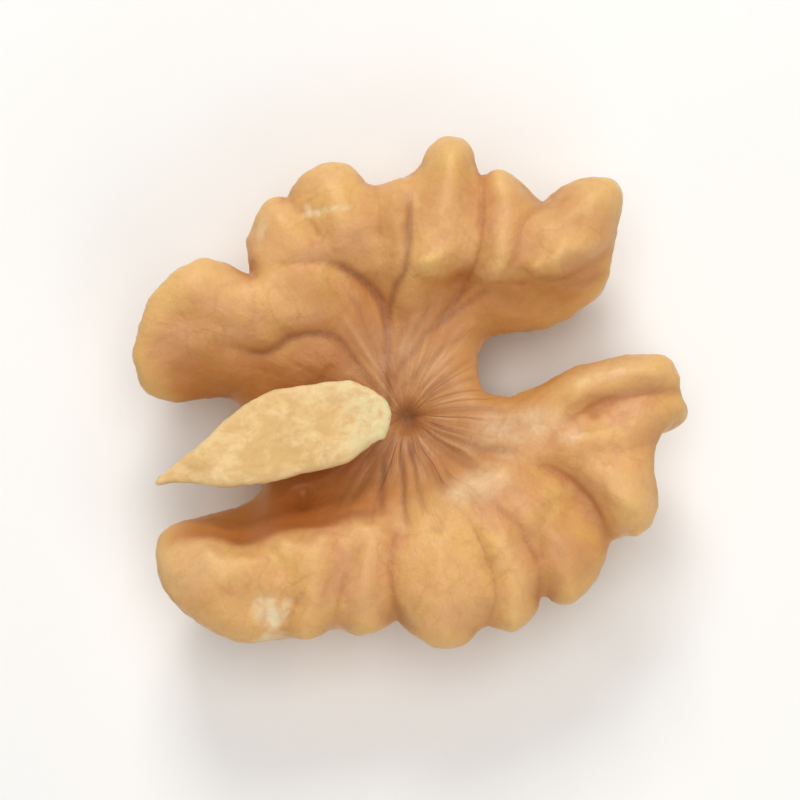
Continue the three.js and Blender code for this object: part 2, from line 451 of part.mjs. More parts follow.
// The radicle: flattened sections along its line, a point at the tip and a round end at the root.
function leaf() {
  const line = smooth(RADICLE, RADICLE_STEPS);
  const last = line[line.length - 1],
    prev = line[line.length - 2];
  const len = Math.hypot(last[0] - prev[0], last[1] - prev[1]);
  const dir = [(last[0] - prev[0]) / len, (last[1] - prev[1]) / len];
  for (const a of [30, 55, 75]) {
    const s = Math.sin((a * Math.PI) / 180),
      c = Math.cos((a * Math.PI) / 180);
    line.push([last[0] + dir[0] * last[3] * s, last[1] + dir[1] * last[3] * s, last[2], last[3] * c]);
  }
  const points = [],
    faces = [],
    m = RADICLE_SIDES;
  line.forEach((p, i) => {
    const a = line[Math.max(0, i - 1)],
      b = line[Math.min(line.length - 1, i + 1)];
    const l = Math.hypot(b[0] - a[0], b[1] - a[1]);
    const side = [-(b[1] - a[1]) / l, (b[0] - a[0]) / l];
    for (let s = 0; s < m; s++) {
      const t = ((s + 0.5) / m) * 2 * Math.PI,
        w = p[3] * Math.cos(t);
      points.push([p[0] + side[0] * w, p[1] + side[1] * w, Math.min(p[2] + RADICLE_FLAT * p[3] * Math.sin(t), RADICLE_TOP)]);
    }
  });
  const rings = line.length;
  for (let i = 0; i + 1 < rings; i++)
    for (let s = 0; s < m; s++) {
      const a = i * m + s,
        b = i * m + ((s + 1) % m);
      faces.push(a, b, a + m, b, b + m, a + m);
    }
  const first = line[0],
    second = line[1];
  const l = Math.hypot(first[0] - second[0], first[1] - second[1]);
  points.push([first[0] + ((first[0] - second[0]) / l) * first[3], first[1] + ((first[1] - second[1]) / l) * first[3], first[2]]);
  points.push([last[0] + dir[0] * last[3], last[1] + dir[1] * last[3], last[2]]);
  for (let s = 0; s < m; s++) {
    faces.push(rings * m, (s + 1) % m, s);
    faces.push(rings * m + 1, (rings - 1) * m + s, (rings - 1) * m + ((s + 1) % m));
  }
  return { points, faces };
}

const wasm = await Module();
wasm.setup();
const solid = ({ points, faces }) =>
  new wasm.Manifold(
    new wasm.Mesh({
      numProp: 3,
      vertProperties: new Float32Array(points.flat()),
      triVerts: new Uint32Array(faces),
    }),
  );
const joined = solid(skinned(CELL)).add(solid(leaf())).getMesh();

const geometry = new THREE.BufferGeometry();
geometry.setAttribute("position", new THREE.BufferAttribute(new Float32Array(joined.vertProperties), 3));
geometry.setIndex(new THREE.BufferAttribute(new Uint32Array(joined.triVerts), 1));
geometry.computeVertexNormals();

const kernel = new THREE.Mesh(geometry, new THREE.MeshStandardMaterial(SKIN));
kernel.name = "walnut_half_kernel";

const part = new THREE.Group();
part.add(kernel);

export default part;
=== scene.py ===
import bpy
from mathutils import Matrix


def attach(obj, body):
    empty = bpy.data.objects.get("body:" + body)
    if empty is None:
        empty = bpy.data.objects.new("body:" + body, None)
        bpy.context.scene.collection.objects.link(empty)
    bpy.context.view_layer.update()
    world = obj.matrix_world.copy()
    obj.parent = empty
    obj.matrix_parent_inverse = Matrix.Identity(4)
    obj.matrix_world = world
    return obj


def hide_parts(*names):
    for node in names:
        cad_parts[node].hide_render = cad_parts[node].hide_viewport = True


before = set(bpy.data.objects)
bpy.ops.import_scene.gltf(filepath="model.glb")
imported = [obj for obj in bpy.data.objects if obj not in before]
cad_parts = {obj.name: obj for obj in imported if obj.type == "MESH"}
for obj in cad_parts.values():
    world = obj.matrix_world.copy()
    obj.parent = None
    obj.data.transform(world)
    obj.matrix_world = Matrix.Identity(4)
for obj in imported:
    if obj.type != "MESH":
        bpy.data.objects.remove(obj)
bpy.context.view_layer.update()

# Half kernel of a walnut, inner face up. The shape is worked out in millimetres in the part's own frame
# (nut axis along X, radicle tip at -X, z = 0 on the floor) and put into the scene in metres.
import math
import bpy
import numpy as np
from mathutils import Vector

OUTLINE = [
    (-14.49,7.41), (-13.56,8.7), (-12.49,9.83), (-11.19,10.89), (-9.8,11.48), (-8.47,11.46), (-7.34,10.8), (-6.51,9.94),
    (-5.83,9.69), (-5.57,10.87), (-5.25,11.98), (-4.71,13.03), (-4.04,13.65), (-3.23,13.77), (-2.57,13.54), (-2.09,13.98),
    (-1.39,14.61), (-0.44,14.93), (0.58,14.86), (1.4,14.46), (1.83,13.8), (2.06,13.1), (2.53,12.74), (3.08,12.79), (3.86,12.89),
    (4.69,12.83), (5.35,13.06), (5.78,13.52), (6.36,14.16), (7.12,14.42), (7.86,14.31), (8.56,13.88), (8.86,13.13),
    (8.85,12.29), (8.86,11.6), (9.26,11.75), (9.82,11.72), (10.3,11.33), (10.74,10.54), (11.11,9.6), (11.6,8.82), (12.35,8.98),
    (13.22,9.44), (14.24,9.62), (15.31,9.46), (16.13,8.94), (16.4,8.08), (16.1,7.11), (15.45,6.09), (14.99,5.07), (14.64,4.08),
    (14.15,3.26), (13.42,2.63), (12.44,2.28), (11.3,2.04), (10.05,1.94), (8.53,2.19), (7.19,2.57), (6.19,2.49), (5.53,1.75),
    (5.16,0.55), (5.25,-0.57), (6.19,-1.32), (7.58,-1.55), (9.07,-1.43), (10.61,-1.17), (12.27,-1.12), (13.75,-1.23),
    (15.11,-1.52), (16.11,-2.07), (16.47,-2.96), (16.62,-4.05), (16.64,-5.1), (16.17,-5.85), (15.14,-6.19), (14.16,-6.62),
    (13.58,-7.49), (13.28,-8.61), (13.04,-9.87), (12.8,-10.82), (12.19,-11.55), (11.28,-11.67), (10.46,-11.34), (9.65,-11.46),
    (9.13,-12.2), (8.41,-12.95), (7.36,-13.84), (6.47,-14.22), (5.71,-13.85), (5.14,-13.19), (4.64,-13.23), (4.21,-13.85),
    (3.54,-14.59), (2.73,-15.02), (2.0,-14.56), (1.3,-14.0), (0.61,-14.03), (-0.25,-14.6), (-1.05,-14.84), (-1.8,-14.75),
    (-2.52,-14.27), (-3.0,-13.44), (-3.3,-12.52), (-3.67,-11.9), (-4.33,-12.23), (-5.06,-12.57), (-5.75,-12.58), (-6.37,-12.24),
    (-6.89,-11.72), (-7.42,-11.53), (-8.0,-11.69), (-8.73,-12.01), (-9.45,-11.98), (-10.02,-11.63), (-10.75,-11.48),
    (-12.01,-11.24), (-13.19,-10.71), (-14.32,-9.66), (-15.31,-8.51), (-15.81,-7.53), (-16.08,-6.51), (-16.32,-5.39),
    (-16.31,-4.42), (-15.86,-3.66), (-15.08,-3.1), (-13.9,-2.9), (-12.46,-2.95), (-10.87,-3.14), (-9.55,-2.77), (-8.7,-1.77),
    (-8.32,-0.19), (-8.41,1.42), (-8.77,2.55), (-9.33,3.47), (-10.44,3.81), (-11.87,3.93), (-13.02,4.12), (-13.94,4.78),
    (-14.43,5.86),
]
FACE = [
    (0.37,-1.09,7.05), (0.55,3.07,7.85), (1.03,5.51,8.45), (1.23,7.08,9.05), (3.99,0.53,7.85), (3.92,-1.49,7.95),
    (1.45,-4.13,8.45), (0.08,-4.26,8.25), (-0.91,-3.9,7.95), (-2.22,-4.23,7.75), (-4.6,-4.0,7.45), (-8.16,-3.64,7.35),
    (-11.48,-2.76,8.05), (-9.13,-2.8,7.05), (5.28,-3.54,8.85), (4.93,-4.66,9.45), (10.32,-2.77,10.2), (14.56,-2.7,10.1),
    (8.05,-2.21,9.25), (10.83,-4.22,9.65), (10.8,-5.22,10.25), (15.15,-5.2,9.55), (11.04,-8.43,10.25), (9.11,-5.25,10.15),
    (1.95,-6.46,10.15), (-2.23,-7.36,10.25), (-5.64,-7.4,10.35), (-9.23,-7.12,10.4), (-13.66,-5.9,10.35), (5.97,-9.17,10.4),
    (7.36,-12.47,9.65), (-0.38,-10.1,10.45), (-1.4,-13.46,9.85), (3.12,-13.89,9.75), (-5.34,-11.3,9.85), (-8.93,-10.61,9.85),
    (-11.65,-8.83,10.15), (-15.37,-4.98,9.85), (6.37,9.64,10.5), (7.53,13.45,10.05), (0.07,12.79,10.3), (-3.81,12.02,10.05),
    (-9.16,8.82,10.35), (-13.1,7.83,9.65), (-6.96,4.28,8.25), (-4.17,4.52,8.45), (-8.36,3.49,7.75), (-11.16,4.34,8.15),
    (-0.47,9.5,10.2), (4.47,7.45,10.4), (10.15,5.3,10.55), (13.18,6.59,10.55), (15.16,8.18,10.15), (10.84,2.92,8.45),
    (7.43,3.5,8.35), (7.19,2.72,7.85), (9.32,9.5,10.35), (3.47,11.29,10.25), (-7.02,0.09,6.65), (-7.67,1.51,6.65),
    (-4.46,-0.43,6.75), (-2.4,-0.37,6.95), (-8.67,-5.93,10.3), (-8.44,-5.19,9.05), (-8.39,-4.39,7.95), (-11.11,-6.0,10.25),
    (-10.94,-5.17,8.85), (-10.65,-4.24,7.75), (-12.93,-5.18,10.25), (-12.96,-4.22,9.05), (-6.37,-6.37,10.3), (-6.12,-5.42,8.75),
    (-4.0,-6.48,10.25), (-3.69,-5.48,8.95), (10.22,4.67,10.5), (10.03,4.05,9.25), (7.76,5.29,10.35), (7.53,4.54,9.05),
    (13.26,4.76,10.45), (13.38,3.91,9.35), (13.93,2.79,9.15), (3.83,6.69,10.25), (3.71,5.84,9.15), (6.44,6.3,9.85),
    (5.88,5.39,8.95), (-0.11,8.03,9.45), (-6.99,6.87,10.0), (-3.44,6.47,9.75), (8.86,-10.21,9.4), (8.45,-8.45,9.65),
    (10.1,-8.82,10.15), (1.84,-5.61,9.75), (4.34,-5.43,9.85), (-12.32,4.97,8.65), (-2.46,3.45,8.05), (-1.6,7.13,9.45),
]
BACK = [
    (-13.79,7.73,7.35), (-9.1,11.05,7.35), (-4.81,13.55,7.35), (0.43,14.67,7.35), (4.0,13.03,7.35), (7.76,14.19,7.35),
    (10.05,11.45,7.35), (15.79,8.88,7.35), (15.19,4.71,7.35), (16.77,-3.92,7.35), (12.94,-10.23,7.35), (8.75,-13.71,7.35),
    (2.9,-15.05,7.35), (-1.72,-14.59,7.35), (-5.68,-12.42,7.35), (-9.27,-11.73,7.35), (-13.25,-10.51,7.35), (-16.36,-4.67,7.35),
    (-10.07,7.0,5.05), (-6.58,8.65,3.05), (-2.53,9.45,1.95), (1.39,8.93,1.75), (6.19,7.74,1.75), (10.3,6.48,2.75),
    (13.56,6.03,5.55), (-13.5,-5.55,4.85), (-10.83,-7.04,2.75), (-7.91,-7.26,1.85), (-3.48,-8.34,1.55), (1.72,-9.11,1.55),
    (6.43,-8.38,2.35), (10.9,-6.21,4.95), (14.15,-4.48,6.75), (0.27,-0.51,3.85), (-4.31,0.07,3.85), (-7.49,0.77,4.15),
    (3.59,0.11,4.15), (3.52,-1.91,4.15), (-0.38,4.04,3.05), (3.54,3.52,3.15), (-4.3,4.55,3.55), (-4.28,-4.29,3.05),
    (0.15,-5.37,3.05), (4.26,-5.27,3.55), (7.46,3.0,4.35), (7.62,-3.17,4.95),
]
GYRI = [
    ((-12.38,7.03,1.88),(-9.31,7.72,2.16),(-6.44,6.43,1.97),(-4.94,4.21,1.41)),
    ((-8.04,9.64,1.5),(-5.13,9.84,1.79),(-2.98,7.96,1.97),(-1.6,5.36,1.79),(-2.21,3.37,1.32)),
    ((-2.98,7.96,1.79),(-4.85,7.17,1.5)),
    ((-2.91,11.74,1.5),(-1.08,10.64,1.69),(0.58,8.5,1.97),(1.47,6.06,1.88),(0.46,3.65,1.41)),
    ((0.51,13.15,1.5),(2.33,11.09,1.69),(4.02,10.85,1.41)),
    ((7.23,12.45,1.5),(5.85,10.15,1.69),(4.21,7.93,1.97),(4.49,5.27,1.88),(2.94,2.89,1.41)), ((4.21,7.93,1.69),(2.7,9.21,1.5)),
    ((9.52,9.71,1.22),(8.54,7.84,1.69),(6.94,5.74,1.79),(6.96,3.56,1.32)),
    ((14.1,7.36,1.69),(11.94,6.52,1.97),(9.71,5.44,1.88),(9.31,3.25,1.22)), ((11.94,6.52,1.69),(11.69,8.37,1.41)),
    ((14.16,4.89,1.22),(12.37,3.94,1.41)), ((-14.99,-5.09,1.79),(-12.42,-6.01,2.16),(-9.3,-5.6,2.07),(-7.29,-3.91,1.41)),
    ((-9.3,-5.6,1.79),(-9.63,-4.01,1.41)), ((-12.47,-8.85,1.6),(-9.47,-8.82,1.88),(-6.7,-7.76,2.07),(-4.7,-5.65,1.6)),
    ((-6.7,-7.76,1.79),(-5.55,-9.34,1.5)), ((-8.57,-10.32,1.32),(-6.47,-10.55,1.5)),
    ((-5.1,-10.97,1.32),(-3.73,-9.62,1.79),(-2.18,-7.65,1.97),(-2.37,-5.14,1.5)),
    ((-1.26,-13.09,1.6),(-0.9,-11.03,1.79),(0.78,-9.09,2.07),(1.04,-6.46,1.5)),
    ((3.23,-13.52,1.03),(3.05,-11.42,1.69),(4.36,-9.37,1.97),(3.96,-6.67,1.6)), ((4.36,-9.37,1.69),(5.11,-11.37,1.5)),
    ((7.11,-12.39,1.6),(7.1,-10.21,1.97),(8.23,-7.84,1.97),(6.65,-5.45,1.41)), ((8.23,-7.84,1.69),(9.49,-9.04,1.41)),
    ((11.22,-9.16,1.5),(11.5,-6.93,1.79),(9.96,-4.83,1.5)), ((15.11,-4.91,1.41),(13.52,-3.88,1.41),(10.92,-3.49,1.22)),
    ((0.41,2.16,1.6),(0.32,-0.8,1.41),(-1.21,-3.59,1.6)),
]
FOLDS = [
    (0.38,0.8,1.7,0.4,0.3,((-5.8,9.48),(-3.6,9.54),(-1.57,9.04),(-0.37,8.19),(0.81,6.49),(0.89,5.01),(0.44,3.2))),
    (0.15,0.9,0.9,0.4,0.6,((0.89,5.01),(2.12,6.82),(2.91,7.31),(3.76,9.71),(4.4,11.7),(4.67,12.59))),
    (0.5,1.1,1.1,0.9,0,((8.84,11.56),(7.78,8.48),(6.73,6.38),(5.25,5.13),(3.09,3.61))),
    (0.38,1.1,1.0,0.9,0.4,((11.59,8.78),(10.18,7.75),(9.12,5.89),(7.9,5.05))),
    (0.32,1.0,1.0,0.8,0,((-2.48,13.51),(-2.05,12.22),(-1.26,10.04))),
    (0.28,0.9,0.9,0.8,0,((2.57,12.7),(2.17,10.93),(1.71,8.64))),
    (0.5,1.0,1.7,0,0.2,((-9.9,6.46),(-7.56,5.63),(-6.19,5.01),(-4.9,5.44),(-3.68,5.39),(-2.63,5.07),(-1.97,4.14),(-1.76,3.15),(-1.59,2.05))),
    (0.4,0.6,1.5,0,0.12,((6.96,-4.3),(8.13,-4.27),(9.55,-3.93),(10.96,-3.58),(12.23,-3.63),(14.05,-3.87),(15.38,-3.98),(16.98,-4.16))),
    (0.5,0.7,1.6,0,0.9,((5.7,-5.32),(7.47,-6.42),(8.55,-7.65),(9.29,-9.04),(9.49,-10.54),(9.72,-11.53))),
    (0.38,1.0,1.0,0.9,0,((4.74,-13.21),(5.08,-11.32),(4.51,-9.21),(3.89,-8.05),(3.19,-6.38))),
    (0.38,1.0,1.0,0.9,0,((1.25,-13.99),(2.27,-12.16),(2.15,-8.97),(1.74,-7.15))),
    (0.48,1.0,1.0,0.9,0.2,((-3.68,-11.92),(-3.23,-9.27),(-2.4,-7.58),(-1.77,-6.32))),
    (0.32,1.0,1.0,0.9,0,((-7.37,-11.52),(-6.28,-9.55),(-4.78,-7.82),(-3.48,-6.76))),
    (0.26,1.0,1.0,0.9,0,((-10.27,-11.49),(-9.53,-10.26),(-8.5,-8.87))),
    (0.36,0.6,1.0,0.2,0.2,((2.99,7.28),(4.12,6.2),(5.81,6.17),(6.84,6.35))),
    (0.65,0.5,1.6,0.2,0.6,((6.72,5.17),(7.84,4.87),(10.12,4.37),(11.25,4.1),(13.16,4.41),(15.17,5.01))),
    (0.3,1.0,1.0,0,0.7,((9.42,-5.85),(11.64,-6.53),(13.88,-6.73))),
    (0.22,0.9,0.9,0,0.5,((7.63,-7.73),(5.77,-9.84),(5.25,-12.35))),
    (0.2,0.4,0.8,0.2,0.2,((2.91,7.01),(4.04,5.94),(5.73,5.91),(6.77,6.12))),
    (0.38,0.5,0.5,0,0,((-6.61,-2.7),(-6.82,-3.56),(-7.03,-4.47))),
]
SWELLS = [
    (0.28,1.59,((-13.97,7.37),(-12.25,9.03),(-10.44,10.17),(-8.58,10.7),(-7.03,9.81))),
    (0.32,1.22,((0.43,14.37),(0.02,11.83),(0.45,9.27))), (0.2,0.98,((-3.51,13.39),(-2.99,11.53),(-1.77,9.95))),
    (0.38,1.34,((7.79,14.07),(6.6,11.27),(4.93,7.66))), (0.16,0.98,((3.77,12.58),(3.03,10.18),(2.02,8.06))),
    (0.3,1.4,((9.92,11.84),(9.16,8.79),(8.1,5.72))), (0.42,1.83,((16.02,9.0),(13.36,7.02),(10.32,5.04))),
    (0.35,0.98,((5.36,-2.06),(8.25,-1.73),(11.19,-1.66),(13.76,-1.96),(16.39,-2.89))),
    (0.26,1.22,((7.52,-4.91),(10.42,-4.95),(12.78,-5.18),(15.94,-5.18))),
    (0.32,1.46,((8.58,-6.2),(10.58,-8.39),(12.27,-11.22))), (0.35,0.85,((6.14,-5.46),(3.51,-6.11),(1.57,-6.12),(-0.21,-7.16))),
    (0.3,1.46,((5.41,-7.05),(6.51,-9.82),(6.82,-13.55))), (0.28,1.1,((2.71,-7.93),(3.39,-11.29),(3.18,-14.5))),
    (0.38,1.59,((-0.02,-7.34),(-0.66,-11.02),(-1.6,-14.5))), (0.28,1.1,((-4.22,-6.78),(-5.03,-9.45),(-5.73,-12.14))),
    (0.22,1.1,((-6.68,-6.51),(-7.83,-9.08),(-9.23,-11.68))),
    (0.26,1.95,((-15.52,-4.05),(-13.49,-6.13),(-11.03,-7.61),(-8.53,-7.4))),
    (0.1,1.22,((-14.39,-3.55),(-12.95,-5.25),(-11.14,-6.07),(-8.69,-6.02),(-6.39,-6.41),(-4.02,-6.55),(-2.27,-6.77))),
    (0.3,1.22,((-7.43,4.15),(-4.94,4.36),(-2.8,4.2),(-2.03,2.75))), (0.12,0.6,((-8.41,-2.22),(-8.73,-3.22),(-9.11,-4.22))),
    (0.12,0.6,((-5.5,-2.94),(-5.8,-3.87),(-6.21,-4.96))),
]
RADICLE = [
    (-14.37,-0.39,9.25,0.25), (-12.24,-0.09,9.25,1.05), (-9.41,0.27,9.25,2.2), (-6.32,0.14,9.25,2.6), (-3.65,0.01,9.15,2.45),
    (-1.54,-0.23,8.75,1.7),
]
STALK = [
    (-7.68,0.15,6.35,1.2), (-4.65,-0.16,6.85,1.6), (-2.28,-0.41,7.15,1.25),
]
VEINS = [
    (1.0,0.26,((-0.36,0.29),(0.26,2.77),(0.89,5.01),(0.81,6.49),(0.01,7.83),(-0.75,8.54),(-1.88,9.2))),
    (0.9,0.24,((0.89,5.01),(1.95,6.63),(2.77,7.35),(3.74,9.72),(4.4,11.7))),
    (0.7,0.21,((0.45,1.74),(2.22,3.15),(4.18,4.0),(6.07,4.64),(7.83,4.83))),
    (0.6,0.19,((0.63,1.93),(3.09,3.61),(5.47,5.06),(6.92,5.83))),
    (0.8,0.22,((-0.63,0.98),(-1.33,2.65),(-2.0,4.44),(-2.77,5.11),(-4.56,5.58),(-6.13,5.21),(-8.2,5.6))),
    (0.55,0.19,((0.14,1.11),(1.42,2.91),(2.85,4.41),(4.14,5.47))),
    (0.45,0.18,((-0.04,0.92),(0.72,2.63),(1.82,4.24),(2.56,5.47))),
    (0.5,0.18,((-0.35,1.5),(-0.21,3.16),(-0.4,4.92),(-0.5,6.16),(-1.05,7.54))),
    (0.45,0.18,((0.4,0.79),(2.61,2.05),(4.79,2.84),(6.11,3.17))),
    (0.8,0.22,((0.42,-1.16),(1.99,-2.37),(3.56,-3.58),(4.98,-4.5),(6.67,-5.3))),
    (0.7,0.21,((0.35,-1.38),(1.56,-2.97),(2.55,-4.48),(3.43,-5.6))),
    (0.7,0.21,((0.2,-1.46),(0.76,-3.21),(1.04,-5.47),(1.43,-6.57))),
    (0.6,0.19,((0.01,-1.52),(-0.04,-3.45),(-0.28,-5.8),(-0.24,-7.27))),
    (0.6,0.19,((-0.16,-1.47),(-0.8,-3.7),(-1.44,-6.42),(-1.8,-8.01))),
    (1.0,0.21,((-0.57,-1.59),(-1.57,-2.74),(-2.25,-4.47),(-2.96,-6.56))),
    (0.6,0.19,((0.55,-0.71),(2.62,-1.1),(4.84,-1.78),(6.55,-2.55))),
    (0.4,0.18,((-0.72,-1.54),(-2.33,-2.99),(-3.76,-4.49),(-4.54,-5.47))),
    (0.4,0.18,((0.34,-1.01),(2.82,-2.02),(4.91,-3.14),(6.62,-3.9))), (0.4,0.16,((0.09,-1.42),(0.36,-3.33),(0.53,-5.56))),
    (0.35,0.16,((0.18,-1.52),(1.28,-3.49),(1.87,-5.12))), (0.35,0.16,((0.27,-1.24),(2.76,-3.82),(3.89,-4.89))),
]
RIBS = [
    (0.5,0.3,((11.41,-3.31),(13.29,-3.52),(16.44,-4.31))), (0.5,0.3,((-2.92,-5.72),(-5.94,-5.28),(-8.74,-4.91),(-11.46,-5.05))),
    (0.35,0.3,((8.57,-7.05),(9.07,-9.39),(9.33,-10.92))), (0.3,0.25,((14.61,3.97),(13.06,3.67),(10.7,3.9))),
]
CHIPS = [
    (-11.23,-9.25,0.42,0.85,-9,0.8), (-10.56,-10.06,0.5,1.1,-13,1.0), (-9.68,-9.72,0.3,0.75,-29,0.7),
    (-10.99,-11.07,0.95,0.38,-9,0.8), (10.09,-11.76,0.5,1.0,-52,0.7), (-0.88,11.91,1.2,0.22,-9,0.9),
    (-1.65,12.1,0.2,0.5,-7,0.7), (-4.55,12.13,0.32,1.0,-17,0.6),
]
# Pale patches, mostly painted highlights and sheen with some pale membrane: x, y, half length, half width, turn,
# strength.
PALE_HIGHLIGHTS = [
    (6.29,-3.39,2.6,1.2,-5,0.85), (9.07,-4.92,0.9,0.5,-3,0.8), (5.1,-4.65,0.9,0.5,-17,0.4), (3.04,-6.09,2.2,1.0,7,0.95),
    (0.08,3.31,0.7,1.8,-17,0.2), (2.02,3.69,0.6,1.6,-47,0.22), (11.89,-1.75,2.8,0.8,-3,0.45), (-14.45,-5.72,2.4,1.6,-7,0.4),
]
# Patches of painted shade in valleys between lobes and near the hub: x, y, half length, half width, turn, strength.
DUSK_SHADE = [
    (-2.96,7.64,2.2,1.1,-37,0.7), (2.96,9.96,0.9,2.2,-17,0.6), (7.07,-11.93,1.5,1.2,13,0.6), (0.38,9.05,1.8,0.8,-7,0.4),
    (0.8,4.07,1.6,1.6,-17,0.4), (6.83,0.77,0.8,1.2,-17,0.4), (0.93,-1.07,1.7,1.1,3,0.9),
]
BUMPS = [
    (4.52,7.35,1.2,0.55,5,0.44), (10.0,5.18,0.42,0.8,-37,0.3), (11.32,5.14,0.42,0.8,-42,0.3), (0.17,11.54,1.4,1.0,-17,0.12),
    (6.64,11.26,1.0,2.2,-17,0.15), (-8.96,9.48,2.4,1.3,8,0.18), (13.05,7.6,1.6,0.9,13,0.15), (-13.49,-6.13,2.2,1.6,-17,0.18),
    (-0.66,-11.02,1.6,1.7,-17,0.16), (4.64,-8.76,1.8,1.3,-47,0.14), (7.4,12.97,1.1,1.5,-17,0.35), (14.81,7.99,1.5,1.3,23,0.42),
    (9.58,10.56,0.85,1.1,-17,0.28), (11.35,-9.84,1.2,1.4,-17,0.28), (10.87,-8.24,1.3,1.0,-17,0.14),
    (-6.83,-8.17,1.5,1.6,-17,0.12), (-3.58,11.96,0.9,0.9,-17,0.12), (14.55,-2.57,1.4,0.5,-12,0.12),
]
PIT = (0.44, -0.68)
HUB = (0.19, -0.48)

# Plan of the radicle, from its free tip round the blunt root end.
LEAF = [
    (-14.86,-0.47), (-14.56,-0.12), (-13.93,0.12), (-12.89,0.58), (-11.84,0.84), (-10.52,1.58), (-9.11,2.24), (-7.9,2.6),
    (-6.64,2.75), (-5.0,2.56), (-3.62,2.33), (-2.47,2.1), (-1.64,1.65), (-0.9,0.89), (-0.5,0.14), (-0.45,-0.65), (-0.82,-1.39),
    (-1.23,-1.92), (-1.77,-1.95), (-2.71,-2.26), (-3.67,-2.63), (-5.14,-2.66), (-6.56,-2.54), (-8.0,-2.47), (-9.41,-2.33),
    (-10.78,-2.03), (-12.09,-1.56), (-13.17,-1.13), (-14.17,-0.83), (-14.74,-0.72),
]


CELL = 0.19          # facet size of the kernel
LEAF_CELL = 0.115    # facet size of the radicle
RIM_ROUND, BACK_ROUND = 2.3, 2.0
RIM_GROW = 0.25      # the rounded edge draws back from the traced line by about this much
GYRUS_BLEND, GYRUS_INSET = 0.32, 0.45
FOLD_SHARP = 0.38
PIT_DEPTH = 1.0
UP = (0.2924, 0.9563)    # direction in plan that is up in the picture
RIGHT = (0.9563, -0.2924)


# ---------- noise, the same on every run ----------
_rng = np.random.RandomState(11)
_perm = np.tile(_rng.permutation(256), 3)
_grad = _rng.normal(size=(256, 3))
_grad /= np.linalg.norm(_grad, axis=1, keepdims=True)


def noise(p, scale, shift=0.0):
    """Gradient noise, about -0.7 to 0.7, one cell every 1/scale millimetres."""
    p = np.asarray(p) * scale + shift
    i = np.floor(p).astype(np.int64)
    f = p - i
    u = f * f * f * (f * (f * 6 - 15) + 10)
    i &= 255
    out = 0.0
    for dx in (0, 1):
        for dy in (0, 1):
            for dz in (0, 1):
                h = _perm[_perm[_perm[(i[:, 0] + dx) & 255] + ((i[:, 1] + dy) & 255)] + ((i[:, 2] + dz) & 255)]
                g = (_grad[h] * (f - np.array((dx, dy, dz)))).sum(1)
                w = (u[:, 0] if dx else 1 - u[:, 0]) * (u[:, 1] if dy else 1 - u[:, 1]) * (u[:, 2] if dz else 1 - u[:, 2])
                out = out + w * g
    return out


def step(a, b, x):
    t = np.clip((x - a) / (b - a), 0, 1)
    return t * t * (3 - 2 * t)


# ---------- lines, sheets and blends ----------
def smooth(points, n=4, closed=False):
    p = np.array(points, float)
    if len(p) < 3:
        return p
    q = np.vstack([p[-1:], p, p[:2]]) if closed else np.vstack([2 * p[0] - p[1], p, 2 * p[-1] - p[-2]])
    out = []
    for i in range(1, len(q) - 2):
        a, b, c, d = q[i - 1:i + 3]
        for j in range(n):
            t = j / n
            out.append(0.5 * (2 * b + (c - a) * t + (2 * a - 5 * b + 4 * c - d) * t * t + (3 * b - a - 3 * c + d) * t ** 3))
    out.append(q[1] if closed else q[-2])
    return np.array(out)


def near(x, y, line):
    best = None
    for a, b in zip(line[:-1], line[1:]):
        bx, by = b[0] - a[0], b[1] - a[1]
        px, py = x - a[0], y - a[1]
        t = np.clip((px * bx + py * by) / (bx * bx + by * by + 1e-12), 0, 1)
        d = (px - t * bx) ** 2 + (py - t * by) ** 2
        best = d if best is None else np.minimum(best, d)
    return np.sqrt(best)


def track(x, y, line):
    """Distance to a line, the side of it (above 0 on its left) and the share of the way along."""
    run = np.r_[0, np.cumsum(np.hypot(*np.diff(line[:, :2], axis=0).T))]
    best, side, share = np.full(np.shape(x), 1e9), np.zeros(np.shape(x)), np.zeros(np.shape(x))
    for i, (a, b) in enumerate(zip(line[:-1], line[1:])):
        bx, by = b[0] - a[0], b[1] - a[1]
        px, py = x - a[0], y - a[1]
        t = np.clip((px * bx + py * by) / (bx * bx + by * by + 1e-12), 0, 1)
        d = (px - t * bx) ** 2 + (py - t * by) ** 2
        m = d < best
        best = np.where(m, d, best)
        side = np.where(m, bx * py - by * px, side)
        share = np.where(m, (run[i] + t * (run[i + 1] - run[i])) / run[-1], share)
    return np.sqrt(best), side, share


def fade(share, first, last):
    return (first + (1 - first) * step(0.0, 0.3, share)) * (last + (1 - last) * step(1.0, 0.7, share))


def within(x, y, ring):
    """Distance in plan from a closed line, negative inside it."""
    inside = np.zeros(np.shape(x), bool)
    for a, b in zip(ring[:-1], ring[1:]):
        if a[1] != b[1]:
            inside ^= ((a[1] > y) != (b[1] > y)) & (x < (b[0] - a[0]) * (y - a[1]) / (b[1] - a[1]) + a[0])
    d = near(x, y, ring)
    return np.where(inside, -d, d)


def sheet(points, ease=0.02):
    p = np.array(points, float)
    n = len(p)
    r2 = ((p[:, None, :2] - p[None, :, :2]) ** 2).sum(-1)
    k = np.where(r2 > 0, 0.5 * r2 * np.log(np.maximum(r2, 1e-12)), 0) + ease * np.eye(n)
    q = np.hstack([np.ones((n, 1)), p[:, :2]])
    a = np.vstack([np.hstack([k, q]), np.hstack([q.T, np.zeros((3, 3))])])
    w = np.linalg.solve(a, np.concatenate([p[:, 2], np.zeros(3)]))

    def height(x, y):
        z = w[n] + w[n + 1] * x + w[n + 2] * y
        for i in range(n):
            r = (x - p[i, 0]) ** 2 + (y - p[i, 1]) ** 2
            z = z + w[i] * 0.5 * r * np.log(np.maximum(r, 1e-12))
        return z
    return height


